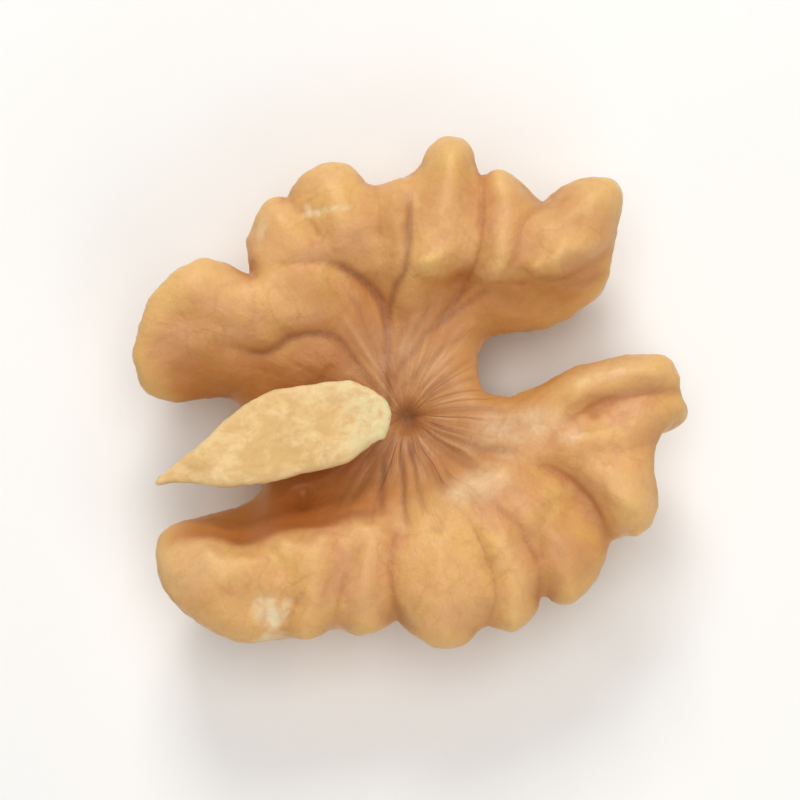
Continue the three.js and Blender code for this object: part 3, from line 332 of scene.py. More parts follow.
def bar(x, y, z, line):
    best = None
    for a, b in zip(line[:-1], line[1:]):
        bx, by, bz = b[0] - a[0], b[1] - a[1], b[2] - a[2]
        px, py, pz = x - a[0], y - a[1], z - a[2]
        t = np.clip((px * bx + py * by + pz * bz) / (bx * bx + by * by + bz * bz + 1e-12), 0, 1)
        d = np.sqrt((px - t * bx) ** 2 + (py - t * by) ** 2 + (pz - t * bz) ** 2) - (a[3] + t * (b[3] - a[3]))
        best = d if best is None else np.minimum(best, d)
    return best


def smin(a, b, k):
    h = np.maximum(k - np.abs(a - b), 0) / k
    return np.minimum(a, b) - h * h * k * 0.25


def smax(a, b, k):
    return -smin(-a, -b, k)


# ---------- the kernel as a distance field ----------
rim = smooth(OUTLINE, 3, closed=True)
face, dome = sheet(FACE), sheet(BACK)
folds = [(*f[:5], smooth(f[5])) for f in FOLDS]
swells = [(h, w, smooth(l)) for h, w, l in SWELLS]
ridges = [smooth([(x, y, float(dome(np.float64(x), np.float64(y))), r) for x, y, r in g]) for g in GYRI]
stalk = smooth(STALK)


def heights(x, y):
    """Distance inside the rim, height of the inner face and height of the back, over points of the plan."""
    top = face(x, y) - PIT_DEPTH * np.exp(-((x - PIT[0]) ** 2 + (y - PIT[1]) ** 2) / 0.8)
    for depth, left, right, first, last, line in folds:
        r, side, share = track(x, y, line)
        wide = np.where(side > 0, left, right)
        top = top - depth * fade(share, first, last) * (0.5 * np.exp(-r / FOLD_SHARP) + 0.6 * np.exp(-(r / wide) ** 2))
    for high, wide, line in swells:
        r, _, share = track(x, y, line)
        top = top + high * fade(share, 0.15, 0.15) * np.exp(-(r / wide) ** 2)
    for bx, by, a, b, turn, high in BUMPS:
        c, s = math.cos(math.radians(turn)), math.sin(math.radians(turn))
        u, v = (x - bx) * c + (y - by) * s, -(x - bx) * s + (y - by) * c
        top = top + high * np.exp(-(u / a) ** 2 - (v / b) ** 2)
    return np.stack([within(x, y, rim) - RIM_GROW, top, dome(x, y)])


# The three sheets are worked out once on a fine plan grid and read from it by a smooth lookup.
PLAN, PLAN_X, PLAN_Y = 0.12, np.arange(-19.4, 19.6, 0.12), np.arange(-18.2, 18.4, 0.12)
plan_table = heights(*np.meshgrid(PLAN_X, PLAN_Y, indexing="ij"))


def spread(t):
    return (-0.5 * t + t * t - 0.5 * t ** 3, 1 - 2.5 * t * t + 1.5 * t ** 3, 0.5 * t + 2 * t * t - 1.5 * t ** 3, -0.5 * t * t + 0.5 * t ** 3)


def columns(x, y):
    u, w = (x - PLAN_X[0]) / PLAN, (y - PLAN_Y[0]) / PLAN
    i, j = np.clip(np.floor(u).astype(int), 1, len(PLAN_X) - 3), np.clip(np.floor(w).astype(int), 1, len(PLAN_Y) - 3)
    wx, wy = spread(u - i), spread(w - j)
    return sum(wx[a] * wy[b] * plan_table[:, i + a - 1, j + b - 1] for a in range(4) for b in range(4))


def wander(x, y):
    """Plan shifted a little to and fro, which makes the ridges of the back wind."""
    return (x + 0.50 * np.sin(0.62 * y + 0.7) + 0.24 * np.sin(1.15 * x + 0.5 * y + 2.1),
            y + 0.45 * np.sin(0.58 * x - 0.9) + 0.24 * np.sin(1.05 * y - 0.6 * x + 0.4))


def kernel_field(x, y, z, axes=None):
    if axes is not None:
        gx, gy = np.meshgrid(axes[0], axes[1], indexing="ij")
        o, t, b = [s[:, :, None] for s in columns(gx, gy)]
        wx, wy = [np.broadcast_to(w[:, :, None], x.shape) for w in wander(gx, gy)]
    else:
        o, t, b = columns(x, y)
        wx, wy = wander(x, y)
    f = np.minimum(smax(smax((z - t) * 0.9, o, RIM_ROUND), (b - z) * 0.75, BACK_ROUND), 4.0)
    o = o + GYRUS_INSET
    for line in ridges + [stalk]:
        m = line[:, 3].max() + 2.0
        lo, hi = line[:, :3].min(0) - m, line[:, :3].max(0) + m
        if axes is not None:
            s = tuple(slice(*np.searchsorted(g, [a, c])) for g, a, c in zip(axes, lo, hi))
            out = o[s[:2]]
        else:
            s = (x > lo[0]) & (x < hi[0]) & (y > lo[1]) & (y < hi[1]) & (z > lo[2]) & (z < hi[2])
            out = o[s]
        if line is stalk:
            f[s] = smin(f[s], bar(x[s], y[s], z[s], line), 0.6)
        else:
            f[s] = smin(f[s], smax(bar(wx[s], wy[s], z[s], line), out, 1.0), GYRUS_BLEND)
    return smax(f, -z, 0.3)


leaf_ring = smooth(LEAF, 3, closed=True)
leaf_axis = smooth(RADICLE)


def leaf_field(x, y, z, axes=None):
    if axes is not None:
        gx, gy = np.meshgrid(axes[0], axes[1], indexing="ij")
    else:
        gx, gy = x, y
    o = within(gx, gy, leaf_ring)
    d = np.clip(-o, 0, 3)
    top = 10.0 + 0.22 * (1 - np.exp(-d / 0.7)) + 0.1 * np.sin(1.1 * gx + 0.4)
    low = 9.55 - 1.75 * np.sqrt(np.clip(d / 2.6, 0, 1)) + 0.0 * gx
    if axes is not None:
        o, top, low = o[:, :, None], top[:, :, None], low[:, :, None]
    return smax(smax(o, z - top, 0.45), (low - z) * 0.7, 0.5)


# ---------- surface of a field ----------
def settle(f):
    """Fills grid corners until the surface meets itself nowhere at a bare edge or point."""
    for _ in range(60):
        s = f < 0
        n = 0
        for ax in ((0, 1), (0, 2), (1, 2)):
            t, g = np.moveaxis(s, ax, (0, 1)), np.moveaxis(f, ax, (0, 1))
            a, b, c, d = t[:-1, :-1], t[1:, :-1], t[:-1, 1:], t[1:, 1:]
            m1, m2 = a & d & ~b & ~c, ~a & ~d & b & c
            n += m1.sum() + m2.sum()
            g[1:, :-1][m1] = -1e-3
            g[:-1, :-1][m2] = -1e-3
        s = f < 0
        nx, ny, nz = f.shape
        cut = {(i, j, k): (slice(i, nx - 1 + i), slice(j, ny - 1 + j), slice(k, nz - 1 + k)) for i in (0, 1) for j in (0, 1) for k in (0, 1)}
        for o in ((0, 0, 0), (1, 0, 0), (0, 1, 0), (0, 0, 1)):
            q = tuple(1 - v for v in o)
            rest = [w for w in cut if w not in (o, q)]
            full = np.logical_and.reduce([s[cut[w]] for w in rest])
            bare = ~np.logical_or.reduce([s[cut[w]] for w in rest])
            m1, m2 = s[cut[o]] & s[cut[q]] & bare, ~s[cut[o]] & ~s[cut[q]] & full
            n += m1.sum() + m2.sum()
            f[cut[rest[0]]][m1] = -1e-3
            f[cut[o]][m2] = -1e-3
        if n == 0:
            return


def surface(field, low, high, h, turns):
    axes = [np.arange(a, b, h) for a, b in zip(low, high)]
    f = field(*np.meshgrid(*axes, indexing="ij"), axes).copy()
    settle(f)
    s = f < 0
    nx, ny, nz = f.shape
    corners = [(i, j, k) for i in (0, 1) for j in (0, 1) for k in (0, 1)]
    count = sum(s[i:nx - 1 + i, j:ny - 1 + j, k:nz - 1 + k].astype(np.int8) for i, j, k in corners)
    cell = np.stack(np.nonzero((count > 0) & (count < 8)), 1)
    index = np.full((nx - 1, ny - 1, nz - 1), -1, np.int64)
    index[tuple(cell.T)] = np.arange(len(cell))
    total, number = np.zeros((len(cell), 3)), np.zeros(len(cell))
    value = {c: f[tuple((cell + np.array(c)).T)] for c in corners}
    for c in corners:
        for ax in range(3):
            if c[ax] == 0:
                e = tuple(1 if a == ax else v for a, v in enumerate(c))
                m = (value[c] < 0) != (value[e] < 0)
                p = np.tile(np.array(c, float), (m.sum(), 1))
                p[:, ax] += value[c][m] / (value[c][m] - value[e][m])
                total[m] += p
                number[m] += 1
    v = (cell + total / number[:, None]) * h + np.array(low)
    quads = []
    for ax in range(3):
        p, q = (ax + 1) % 3, (ax + 2) % 3
        m = s != np.roll(s, -1, ax)
        keep = np.zeros_like(m)
        sl = [slice(1, -1)] * 3
        sl[ax] = slice(0, -1)
        keep[tuple(sl)] = True
        g = np.stack(np.nonzero(m & keep), 1)
        ring = []
        for dp, dq in ((1, 1), (0, 1), (0, 0), (1, 0)):
            r = g.copy()
            r[:, p] -= dp
            r[:, q] -= dq
            ring.append(index[tuple(r.T)])
        ring = np.stack(ring, 1)
        out = ~s[tuple(g.T)]
        ring[out] = ring[out][:, ::-1]
        quads.append(ring)
    for _ in range(turns):
        g = slope(field, v)
        move = -(field(*v.T) / np.maximum((g * g).sum(1), 0.15))[:, None] * g
        size = np.linalg.norm(move, axis=1, keepdims=True)
        v = v + move * np.minimum(1, 0.35 * h / np.maximum(size, 1e-9))
    return v, np.vstack(quads)


def slope(field, v, e=0.03):
    return np.stack([(field(*(v + d).T) - field(*(v - d).T)) / (2 * e) for d in np.eye(3) * e], 1)


def unit(g):
    return g / np.maximum(np.linalg.norm(g, axis=1, keepdims=True), 1e-9)


def patch(p, rows, rough):
    """Mask of small ragged patches: 1 inside, 0 outside, with a soft broken edge."""
    out = np.zeros(len(p))
    for x, y, a, b, turn, strength in rows:
        c, s = math.cos(math.radians(turn)), math.sin(math.radians(turn))
        u, v = (p[:, 0] - x) * c + (p[:, 1] - y) * s, -(p[:, 0] - x) * s + (p[:, 1] - y) * c
        out = np.maximum(out, strength * step(1.4, 0.3, np.sqrt((u / a) ** 2 + (v / b) ** 2) + rough))
    return out


def mesh_of(name, v, quads, marks):
    me = bpy.data.meshes.new(name)
    me.vertices.add(len(v))
    me.vertices.foreach_set("co", (v * 1e-3).astype(np.float32).ravel())
    me.loops.add(quads.size)
    me.loops.foreach_set("vertex_index", quads.astype(np.int32).ravel())
    me.polygons.add(len(quads))
    me.polygons.foreach_set("loop_start", np.arange(0, quads.size, 4, dtype=np.int32))
    me.update(calc_edges=True)
    me.validate()
    me.polygons.foreach_set("use_smooth", np.ones(len(me.polygons), bool))
    for key, val in marks.items():
        me.attributes.new(key, "FLOAT", "POINT").data.foreach_set("value", np.clip(val, 0, 1).astype(np.float32))
    ob = bpy.data.objects.new(name, me)
    bpy.context.scene.collection.objects.link(ob)
    return ob


# ---------- the kernel's surface ----------
v, quads = surface(kernel_field, (-17.8, -16.4, -0.8), (18.0, 16.4, 12.0), CELL, 2)
n = unit(slope(kernel_field, v))
o, top, low = columns(v[:, 0], v[:, 1])
inner = step(1.3, 0.35, top - v[:, 2]) * step(-0.05, 0.4, n[:, 2])
hub_x, hub_y = v[:, 0] - HUB[0], v[:, 1] - HUB[1]
hub_r = np.hypot(hub_x, hub_y)
near_open = kernel_field(*(v + n * 0.7).T) / 0.7
far_open = kernel_field(*(v + n * 2.0).T) / 2.0
# painted shade: a measure of how shut in each point is, used to darken the skin colour in hollows
hollow_shade = np.clip(1.02 - near_open, 0, 1) * 0.6 + np.clip(1.0 - far_open, 0, 1) * 0.6

vein = np.zeros(len(v))
for strength, width, line in VEINS:
    l = smooth(line)
    wob = 0.10 * noise(v * (1, 1, 0), 1.1, 3.7)
    d = near(v[:, 0] + wob, v[:, 1] - wob, l)
    along = np.hypot(v[:, 0] - l[-1][0], v[:, 1] - l[-1][1])
    vein = np.maximum(vein, strength * np.exp(-(d / width) ** 2) * step(0.0, 1.6, along))
vein *= inner
rib = np.zeros(len(v))
for strength, width, line in RIBS:
    rib = np.maximum(rib, strength * np.exp(-(near(v[:, 0], v[:, 1], smooth(line)) / width) ** 2))
rib *= inner
# darker along the folds: a dark line in each crease with painted shade to either side
fold_line_and_shade = np.zeros(len(v))
for depth, left, right, first, last, line in folds:
    r, side, share = track(v[:, 0], v[:, 1], line)
    soft = np.where(side > 0, left, right) * 0.55
    fold_line_and_shade = np.maximum(fold_line_and_shade, depth * 1.7 * fade(share, first * 0.6, last * 0.6) * (0.6 * np.exp(-(r / 0.3) ** 2) + 0.4 * np.exp(-(r / soft) ** 2)))
fold_line_and_shade *= inner

ray = np.stack([hub_x, hub_y, 0 * hub_x], 1) / np.maximum(hub_r, 0.2)[:, None]
streak = noise(np.c_[ray[:, :2] * 11, hub_r * 0.12], 1.0, 5.1) + 0.5 * noise(np.c_[ray[:, :2] * 23, hub_r * 0.2], 1.0, 9.3)
spoke = inner * step(0.5, 1.6, hub_r) * step(9.5, 3.0, hub_r)

ragged = 0.7 * noise(v, 1.3, 2.2) + 0.5 * noise(v, 2.8, 8.8)
chip = patch(v, CHIPS, ragged) * step(1.9, 1.2, top - v[:, 2])
# painted highlights and sheen, with some pale membrane, as pale patches
pale_highlight = patch(v, PALE_HIGHLIGHTS, 0.25 * ragged) * inner
# painted shade: darker patches in valleys and near the hub
dusk_shade = patch(v, DUSK_SHADE, 0.3 * ragged) * inner

# painted shade, with some stain: darker the further a point lies below the tops of the lobes, and darker near the
# channel that the radicle lies over, where the radicle's shadow falls
deep_stain_and_shade = step(0.5, 2.3, 10.5 - v[:, 2]) * step(-0.2, 0.3, n[:, 2]) * step(2.4, 1.0, top - v[:, 2])
# painted shadow of the radicle on the channel and wall beside it, with some stain near the septum
groove_shade_and_stain = step(6.2, 2.4, within(v[:, 0], v[:, 1], leaf_ring)) * step(0.5, 1.5, 10.5 - v[:, 2]) * step(-0.5, 0.1, n[:, 2]) * step(5.5, 3.5, 10.5 - v[:, 2])
run = np.array(RADICLE[-1][:2]) - np.array(RADICLE[0][:2])
run /= np.linalg.norm(run)
from_tip = v[:, :2] - np.array(RADICLE[0][:2])
along = from_tip @ run
groove_shade_and_stain *= np.where(run[0] * from_tip[:, 1] - run[1] * from_tip[:, 0] > 0, step(8.5, 2.0, along), step(13.5, 6.0, along))
link = np.unique(np.sort(np.vstack([quads[:, [i, (i + 1) % 4]] for i in range(4)]), 1), axis=0)


def eased(q, turns):
    """Positions drawn to the mean of their neighbours, for telling crests from creases."""
    number = np.bincount(link.ravel(), minlength=len(q))[:, None]
    for _ in range(turns):
        q = np.stack([np.bincount(link[:, 0], q[link[:, 1], a], len(q)) + np.bincount(link[:, 1], q[link[:, 0], a], len(q)) for a in range(3)], 1) / number
    return q


small = ((v - eased(v, 8)) * n).sum(1)
large = ((v - eased(v, 90)) * n).sum(1)
# painted highlight: convex crests get a paler, yellower colour
crest_highlight = step(0.02, 0.14, small) * 0.2 + step(0.10, 0.55, large) * 0.8
# painted shade: concave creases get a darker colour
crease_shade = step(0.015, 0.10, -small) * 0.5 + step(0.04, 0.36, -large) * 0.7
wave = noise(np.c_[ray[:, :2] * 8.0, hub_r * 0.25], 1.0, 2.7) * step(3.5, 7.0, hub_r) * inner

move = 0.20 * noise(v, 0.42, 1.3) + 0.09 * noise(v, 0.95, 6.1) + 0.035 * noise(v, 2.3, 4.4) + 0.012 * noise(v, 5.5, 7.7)
move += (0.22 * noise(v * (1, 1, 0.5), 0.6, 12.9) + 0.08 * noise(v, 1.5, 3.9)) * (1 - inner)
move += 0.07 * streak * spoke + 0.14 * wave - 0.06 * vein - 0.04 * rib
move += chip * (-0.12 + 0.12 * noise(v, 2.2, 3.3))
floor_fade = step(0.0, 0.7, v[:, 2])
v = v + n * (move * floor_fade)[:, None]
v[:, 2] = np.maximum(v[:, 2], 0.0)

kernel = mesh_of("kernel", v, quads, {
    "hollow_shade": hollow_shade, "crest_highlight": crest_highlight, "crease_shade": crease_shade, "deep_stain_and_shade": deep_stain_and_shade, "groove_shade_and_stain": groove_shade_and_stain, "vein": np.maximum(vein, 0.8 * rib), "fold_line_and_shade": fold_line_and_shade, "inner": inner, "chip": chip, "pale_highlight": pale_highlight, "dusk_shade": dusk_shade,
    "hub": step(8.5, 0.8, hub_r) * inner, "eye": np.exp(-((v[:, 0] - PIT[0]) ** 2 + (v[:, 1] - PIT[1]) ** 2) / 0.55) * inner,
    # painted highlight: the colour is made lighter along the rounded rim
    "edge": np.exp(-(np.minimum(o, 0) / 1.5) ** 2)})

# ---------- the radicle's surface ----------
ring = np.array(leaf_ring)
lo, hi = ring.min(0) - 0.6, ring.max(0) + 0.6
lv, lquads = surface(leaf_field, (lo[0], lo[1], 7.0), (hi[0], hi[1], 11.2), LEAF_CELL, 2)
ln = unit(slope(leaf_field, lv))
along = (lv[:, :2] - np.array(RADICLE[0][:2])) @ run
across = lv[:, 0] * -run[1] + lv[:, 1] * run[0]
grain = np.c_[along * 0.7, across * 1.5, lv[:, 2] * 1.2]
flake = np.abs(noise(grain, 1.0, 4.0)) + 0.6 * np.abs(noise(grain, 2.1, 8.0))
crumb = noise(lv, 0.9, 2.0) + 0.5 * noise(lv, 2.1, 5.0)
root = step(9.8, 13.6, along)
lmove = 0.26 * noise(lv, 0.38, 2.0) + 0.07 * (flake - 0.35) + (0.07 + 0.10 * root) * crumb + 0.016 * noise(lv, 5.2, 6.0)
lv = lv + ln * lmove[:, None]
# painted shade: how shut in each point of the radicle is, used to darken its colour in hollows
leaf_hollow_shade = np.clip(1.05 - leaf_field(*(lv + ln * 0.5).T) / 0.5, 0, 1)
radicle = mesh_of("radicle", lv, lquads, {
    "flake": flake * 1.2, "crumb": 0.5 + 0.6 * crumb, "root": root, "tip": step(3.2, 0.4, along), "under_shade": step(0.1, -0.5, ln[:, 2]),
    "lip_highlight": np.exp(-(within(lv[:, 0], lv[:, 1], leaf_ring) / 0.45) ** 2) * step(-0.2, 0.5, ln[:, 2]), "hollow_shade": leaf_hollow_shade})


# ---------- materials ----------
def srgb(r, g, b):
    return tuple(((c / 255 + 0.055) / 1.055) ** 2.4 if c > 10 else c / 255 / 12.92 for c in (r, g, b)) + (1.0,)


class Paint:
    """A node material and short calls to wire it."""

    def __init__(self, name):
        self.mat = bpy.data.materials.new(name)
        self.mat.use_nodes = True
        self.tree = self.mat.node_tree
        self.tree.nodes.clear()
        self.out = self.tree.nodes.new("ShaderNodeOutputMaterial")
        self.bsdf = self.tree.nodes.new("ShaderNodeBsdfPrincipled")
        self.tree.links.new(self.bsdf.outputs[0], self.out.inputs[0])
        co = self.tree.nodes.new("ShaderNodeTexCoord")
        self.pos = self.vec("SCALE", co.outputs["Object"], scale=1000.0)

    def put(self, socket, val):
        if isinstance(val, bpy.types.NodeSocket):
            self.tree.links.new(val, socket)
        else:
            socket.default_value = val

    def vec(self, op, a, b=None, scale=None):
        n = self.tree.nodes.new("ShaderNodeVectorMath")
        n.operation = op
        self.put(n.inputs[0], a)
        if b is not None:
            self.put(n.inputs[1], b)
        if scale is not None:
            self.put(n.inputs["Scale"], scale)
        return n.outputs["Value"] if op in ("LENGTH", "DOT_PRODUCT") else n.outputs["Vector"]

    def math(self, op, a, b=0.0, clamp=False):
        n = self.tree.nodes.new("ShaderNodeMath")
        n.operation = op
        n.use_clamp = clamp
        self.put(n.inputs[0], a)
        self.put(n.inputs[1], b)
        return n.outputs[0]

    def mark(self, name):
        n = self.tree.nodes.new("ShaderNodeAttribute")
        n.attribute_name = name
        return n.outputs["Fac"]

    def noise(self, vec, scale, detail=2.0, rough=0.5, bend=0.0):
        n = self.tree.nodes.new("ShaderNodeTexNoise")
        self.put(n.inputs["Vector"], vec)
        for k, x in (("Scale", scale), ("Detail", detail), ("Roughness", rough), ("Distortion", bend)):
            n.inputs[k].default_value = x
        return n.outputs["Fac"]

    def fit(self, val, a, b, c=0.0, d=1.0):
        n = self.tree.nodes.new("ShaderNodeMapRange")
        n.interpolation_type = "SMOOTHSTEP"
        self.put(n.inputs["Value"], val)
        for k, x in (("From Min", a), ("From Max", b), ("To Min", c), ("To Max", d)):
            n.inputs[k].default_value = x
        return n.outputs["Result"]

    def mix(self, fac, a, b, blend="MIX"):
        n = self.tree.nodes.new("ShaderNodeMix")
        n.data_type = "RGBA"
        n.blend_type = blend
        self.put(n.inputs[0], fac)
        self.put(n.inputs[6], a)
        self.put(n.inputs[7], b)
        return n.outputs[2]

    def bump(self, height, strength, distance, normal=None):
        n = self.tree.nodes.new("ShaderNodeBump")
        n.inputs["Strength"].default_value = strength
        n.inputs["Distance"].default_value = distance
        self.put(n.inputs["Height"], height)
        if normal is not None:
            self.put(n.inputs["Normal"], normal)
        return n.outputs[0]

    def set(self, **kw):
        for k, x in kw.items():
            self.put(self.bsdf.inputs[k.replace("_", " ")], x)


def skin_material():
    p = Paint("kernel_skin")
    hollow_shade, vein, fold_line_and_shade, inner = p.mark("hollow_shade"), p.mark("vein"), p.mark("fold_line_and_shade"), p.mark("inner")
    chip, hub, eye, edge, deep_stain_and_shade, groove_shade_and_stain = (p.mark(k) for k in ("chip", "hub", "eye", "edge", "deep_stain_and_shade", "groove_shade_and_stain"))
    crest_highlight, crease_shade, pale_highlight, dusk_shade = p.mark("crest_highlight"), p.mark("crease_shade"), p.mark("pale_highlight"), p.mark("dusk_shade")
    broad = p.noise(p.pos, 0.16, 3, 0.5, 0.4)
    tint = p.noise(p.vec("ADD", p.pos, (31.0, 7.0, 3.0)), 0.34, 3, 0.55, 0.5)
    patchy = p.noise(p.pos, 1.1, 4, 0.55, 0.6)
    fine = p.noise(p.pos, 5.0, 4, 0.6)
    # spokes round the hub, finer than the facets, and the same fibres running out over the lobes
    warp = p.tree.nodes.new("ShaderNodeTexNoise")
    p.put(warp.inputs["Vector"], p.pos)
    warp.inputs["Scale"].default_value = 0.22
    warp.inputs["Detail"].default_value = 1.0
    sway = p.vec("SCALE", p.vec("SUBTRACT", warp.outputs["Color"], (0.5, 0.5, 0.5)), scale=0.8)
    arm = p.vec("MULTIPLY", p.vec("SUBTRACT", p.vec("ADD", p.pos, sway), (HUB[0], HUB[1], 0.0)), (1.0, 1.0, 0.0))
    turn = p.vec("SCALE", p.vec("NORMALIZE", arm), scale=9.0)
    lift = p.tree.nodes.new("ShaderNodeCombineXYZ")
    p.put(lift.inputs[2], p.math("MULTIPLY", p.vec("LENGTH", arm), 0.16))
    around = p.vec("ADD", turn, lift.outputs[0])
    spoke = p.noise(around, 1.1, 2, 0.5, 0.15)
    fibre = p.noise(around, 3.1, 2, 0.5, 0.3)
    # thin dark lines that run out from the hub, most of them towards the lobes on the right and below
    side = p.vec("DOT_PRODUCT", p.vec("NORMALIZE", arm), (0.4695, -0.883, 0.0))
    lean = p.fit(side, -0.6, 0.7, 0.25, 1.0)
    hair = p.fit(p.math("ABSOLUTE", p.math("SUBTRACT", p.noise(around, 0.42, 1, 0.4, 0.2), 0.5)), 0.055, 0.0)
    hair2 = p.fit(p.math("ABSOLUTE", p.math("SUBTRACT", p.noise(p.vec("ADD", around, (3.0, 8.0, 1.0)), 0.75, 1, 0.4, 0.2), 0.5)), 0.045, 0.0)
    hair = p.math("MULTIPLY", p.math("MULTIPLY", p.math("MAXIMUM", hair, p.math("MULTIPLY", hair2, 0.25)), p.math("MULTIPLY", hub, p.fit(hub, 0.998, 0.93))), lean)
    # net of faint veins over the skin
    net = p.fit(p.math("ABSOLUTE", p.math("SUBTRACT", p.noise(p.vec("MULTIPLY", p.pos, (1.0, 1.0, 0.8)), 0.42, 2, 0.45, 0.5), 0.5)), 0.055, 0.0)
    spoke_dark = p.math("MULTIPLY", p.fit(spoke, 0.52, 0.72), hub)
    spoke_pale = p.math("MULTIPLY", p.fit(spoke, 0.48, 0.30), hub)

    shade = p.math("SUBTRACT", 1.0, p.math("MULTIPLY", hub, 0.75))
    col = p.mix(p.fit(broad, 0.36, 0.64), srgb(218, 160, 98), srgb(232, 180, 112))
    col = p.mix(p.math("MULTIPLY", p.fit(tint, 0.42, 0.66), 0.65), col, srgb(224, 164, 118))
    col = p.mix(p.math("MULTIPLY", p.fit(tint, 0.44, 0.28), 0.6), col, srgb(230, 186, 106))
    col = p.mix(p.math("MULTIPLY", p.fit(patchy, 0.48, 0.74), 0.35), col, srgb(206, 144, 88))
    col = p.mix(p.math("MULTIPLY", p.math("MULTIPLY", p.fit(fibre, 0.52, 0.74), inner), 0.16), col, srgb(196, 128, 80))
    col = p.mix(p.math("MULTIPLY", net, p.fit(inner, 0.0, 1.0, 0.30, 0.14)), col, srgb(168, 100, 56))
    # painted shade with some stain in the low parts of the inner face
    col = p.mix(p.math("MULTIPLY", deep_stain_and_shade, 0.66), col, srgb(188, 117, 52))
    col = p.mix(p.math("MULTIPLY", hub, 0.75), col, srgb(202, 149, 98))
    col = p.mix(p.math("MULTIPLY", spoke_pale, 0.45), col, srgb(236, 200, 158))
    col = p.mix(p.math("MULTIPLY", spoke_dark, 0.42), col, srgb(168, 104, 64))
    # painted shadow of the radicle beside it, with some stain near the septum
    col = p.mix(p.math("MULTIPLY", groove_shade_and_stain, 0.85), col, srgb(170, 92, 28))
    # painted shade in hollows, lessened near the hub
    col = p.mix(p.math("MULTIPLY", p.fit(hollow_shade, 0.30, 1.0, 0.0, 0.50), shade), col, srgb(176, 100, 38))
    # painted shade in creases, lessened near the hub
    col = p.mix(p.math("MULTIPLY", p.math("MULTIPLY", crease_shade, p.fit(patchy, 0.2, 0.6, 0.5, 0.7)), shade), col, srgb(178, 106, 46))
    # painted highlight on convex crests
    col = p.mix(p.math("MULTIPLY", crest_highlight, 0.60), col, srgb(243, 202, 128))
    # painted highlight along the rounded rim
    col = p.mix(p.math("MULTIPLY", edge, 0.20), col, srgb(240, 196, 120))
    # painted shade patches
    col = p.mix(p.math("MULTIPLY", dusk_shade, 0.62), col, srgb(190, 124, 66))
    # dark crease lines with painted shade to either side
    col = p.mix(p.math("MULTIPLY", fold_line_and_shade, 0.22), col, srgb(166, 94, 50))
    col = p.mix(p.math("MULTIPLY", vein, 0.62), col, srgb(140, 84, 52))
    col = p.mix(p.math("MULTIPLY", hair, 0.66), col, srgb(130, 74, 44))
    # painted highlights and sheen, with some pale membrane
    col = p.mix(p.math("MULTIPLY", pale_highlight, p.fit(patchy, 0.25, 0.65, 0.85, 0.4)), col, srgb(243, 212, 170))
    col = p.mix(p.math("MULTIPLY", eye, 0.52), col, srgb(100, 60, 42))
    col = p.mix(p.fit(fine, 0.42, 0.78, 0.0, 0.14), col, srgb(178, 116, 70))
    col = p.mix(p.math("MULTIPLY", chip, p.fit(patchy, 0.30, 0.60, 0.25, 0.85)), col, srgb(242, 226, 186))

    pore = p.noise(p.pos, 9.0, 3, 0.6)
    wrinkle = p.noise(p.vec("MULTIPLY", p.pos, (1.0, 1.0, 0.5)), 2.6, 4, 0.6, 0.8)
    n = p.bump(wrinkle, 0.34, 0.00014)
    n = p.bump(p.math("MULTIPLY", spoke, hub), 0.4, 0.00016, n)
    n = p.bump(p.math("MULTIPLY", fibre, inner), 0.3, 0.00008, n)
    n = p.bump(p.math("MULTIPLY", hair, -1.0), 0.35, 0.00010, n)
    n = p.bump(pore, 0.3, 0.00004, n)
    rough = p.fit(patchy, 0.3, 0.7, 0.36, 0.52)
    rough = p.math("ADD", rough, p.math("MULTIPLY", chip, 0.3), clamp=True)
    p.set(Base_Color=col, Roughness=rough, Normal=n)
    p.set(Subsurface_Weight=0.2, Subsurface_Radius=(1.0, 0.42, 0.16), Subsurface_Scale=0.0009, IOR=1.45)
    p.bsdf.inputs["Specular IOR Level"].default_value = 0.42
    return p.mat


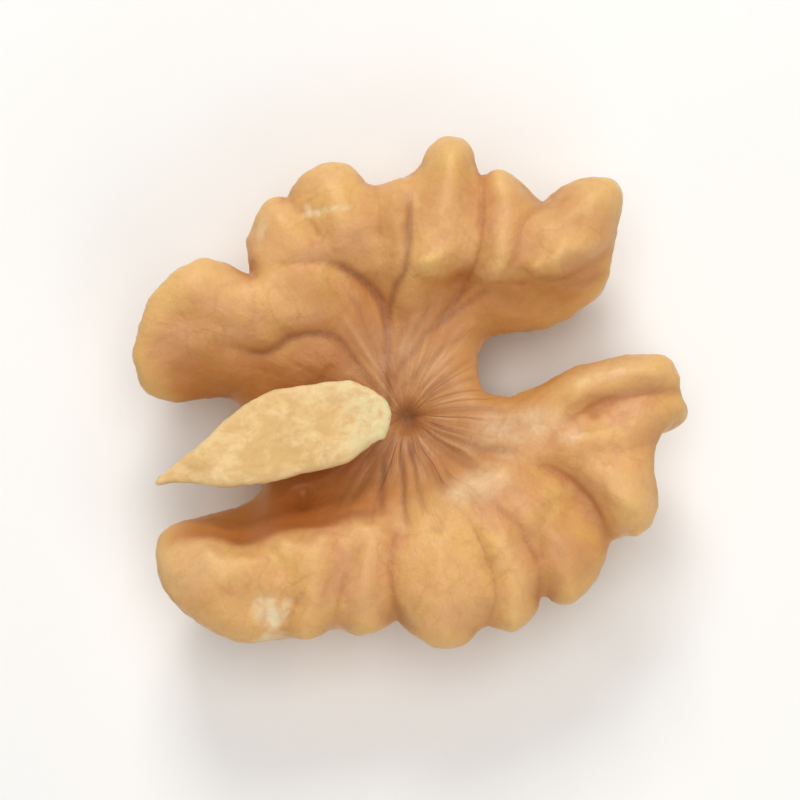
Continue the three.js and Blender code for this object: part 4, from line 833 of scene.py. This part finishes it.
def radicle_material():
    p = Paint("radicle_flesh")
    flake, crumb, root, tip, under_shade, lip_highlight, hollow_shade = (p.mark(k) for k in ("flake", "crumb", "root", "tip", "under_shade", "lip_highlight", "hollow_shade"))
    mott = p.noise(p.pos, 0.55, 4, 0.6, 0.6)
    blotch = p.noise(p.vec("ADD", p.pos, (5.0, 17.0, 2.0)), 1.4, 4, 0.6, 0.4)
    fine = p.noise(p.pos, 4.0, 4, 0.65)
    col = p.mix(p.fit(mott, 0.38, 0.62), srgb(228, 187, 126), srgb(243, 212, 156))
    col = p.mix(p.math("MULTIPLY", p.fit(flake, 0.45, 0.10), 0.25), col, srgb(210, 168, 110))
    col = p.mix(p.math("MULTIPLY", p.fit(blotch, 0.52, 0.74), 0.42), col, srgb(208, 162, 104))
    # painted highlight along the upward-facing rim of the radicle
    col = p.mix(p.math("MULTIPLY", lip_highlight, 0.45), col, srgb(244, 220, 166))
    col = p.mix(p.math("MULTIPLY", root, p.fit(blotch, 0.62, 0.35, 0.15, 0.9)), col, srgb(236, 228, 184))
    col = p.mix(p.math("MULTIPLY", root, p.fit(mott, 0.5, 0.66, 0.0, 0.6)), col, srgb(216, 220, 164))
    col = p.mix(p.math("MULTIPLY", tip, 0.35), col, srgb(214, 168, 110))
    # painted shade on the downward-facing underside of the radicle
    col = p.mix(p.math("MULTIPLY", under_shade, 0.6), col, srgb(206, 150, 92))
    # painted shade in the radicle's hollows
    col = p.mix(p.fit(hollow_shade, 0.3, 0.9, 0.0, 0.5), col, srgb(190, 144, 88))
    col = p.mix(p.fit(fine, 0.5, 0.8, 0.0, 0.20), col, srgb(200, 156, 102))
    n = p.bump(fine, 0.45, 0.00010)
    n = p.bump(p.noise(p.pos, 11.0, 3, 0.6), 0.4, 0.00005, n)
    p.set(Base_Color=col, Roughness=p.fit(mott, 0.3, 0.7, 0.64, 0.80), Normal=n)
    p.set(Subsurface_Weight=0.2, Subsurface_Radius=(1.0, 0.6, 0.3), Subsurface_Scale=0.0008, IOR=1.45)
    p.bsdf.inputs["Specular IOR Level"].default_value = 0.3
    return p.mat


def floor_material():
    p = Paint("pale_floor")
    grey = p.noise(p.pos, 0.02, 2, 0.5)
    p.set(Base_Color=p.mix(p.fit(grey, 0.3, 0.7), srgb(249, 249, 248), srgb(252, 252, 251)), Roughness=0.7)
    p.bsdf.inputs["Specular IOR Level"].default_value = 0.2
    return p.mat


kernel.data.materials.append(skin_material())
radicle.data.materials.append(radicle_material())
for piece in (kernel, radicle):
    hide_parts("walnut_half_kernel")
    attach(piece, "root")

# ---------- floor, light and camera ----------
scene = bpy.context.scene
fm = bpy.data.meshes.new("floor")
fm.from_pydata([(-0.8, -0.8, 0), (0.8, -0.8, 0), (0.8, 0.8, 0), (-0.8, 0.8, 0)], [], [(0, 1, 2, 3)])
floor = bpy.data.objects.new("floor", fm)
scene.collection.objects.link(floor)
floor.data.materials.append(floor_material())

world = bpy.data.worlds.new("studio")
scene.world = world
world.use_nodes = True
world.node_tree.nodes["Background"].inputs[0].default_value = (1.0, 0.995, 0.985, 1.0)
world.node_tree.nodes["Background"].inputs[1].default_value = 0.25


def plan(right, up, z):
    return Vector((RIGHT[0] * right + UP[0] * up, RIGHT[1] * right + UP[1] * up, z))


def softbox(name, place, size, power, colour=(1.0, 0.985, 0.96)):
    light = bpy.data.lights.new(name, "AREA")
    light.shape = "SQUARE"
    light.size = size
    light.energy = power
    light.color = colour
    ob = bpy.data.objects.new(name, light)
    scene.collection.objects.link(ob)
    ob.location = place
    ob.rotation_mode = "QUATERNION"
    ob.rotation_quaternion = (Vector((0, 0, 0.006)) - place).to_track_quat("-Z", "Y")


softbox("key", plan(-0.03, 0.30, 0.28), 0.16, 0.74)
softbox("fill", plan(0.16, -0.26, 0.30), 0.30, 0.40)
softbox("over", plan(0.0, 0.02, 0.50), 0.30, 0.98)

view_from = 83.0
aim = plan(0.0002, 0.0003, 0.008)
reach = 0.235
cam = bpy.data.cameras.new("camera")
cam.lens = 180.0
cam.sensor_width = 36.0
cam.clip_start = 0.005
cam.clip_end = 10.0
camera = bpy.data.objects.new("camera", cam)
scene.collection.objects.link(camera)
c, s = math.cos(math.radians(view_from)), math.sin(math.radians(view_from))
back = plan(0.0, -c, s)
camera.location = aim + back * reach
x_axis = Vector((RIGHT[0], RIGHT[1], 0.0))
y_axis = back.cross(x_axis)
camera.rotation_mode = "QUATERNION"
from mathutils import Matrix
camera.rotation_quaternion = Matrix((x_axis, y_axis, back)).transposed().to_quaternion()
scene.camera = camera
scene.view_settings.view_transform = "Standard"
scene.view_settings.look = "None"
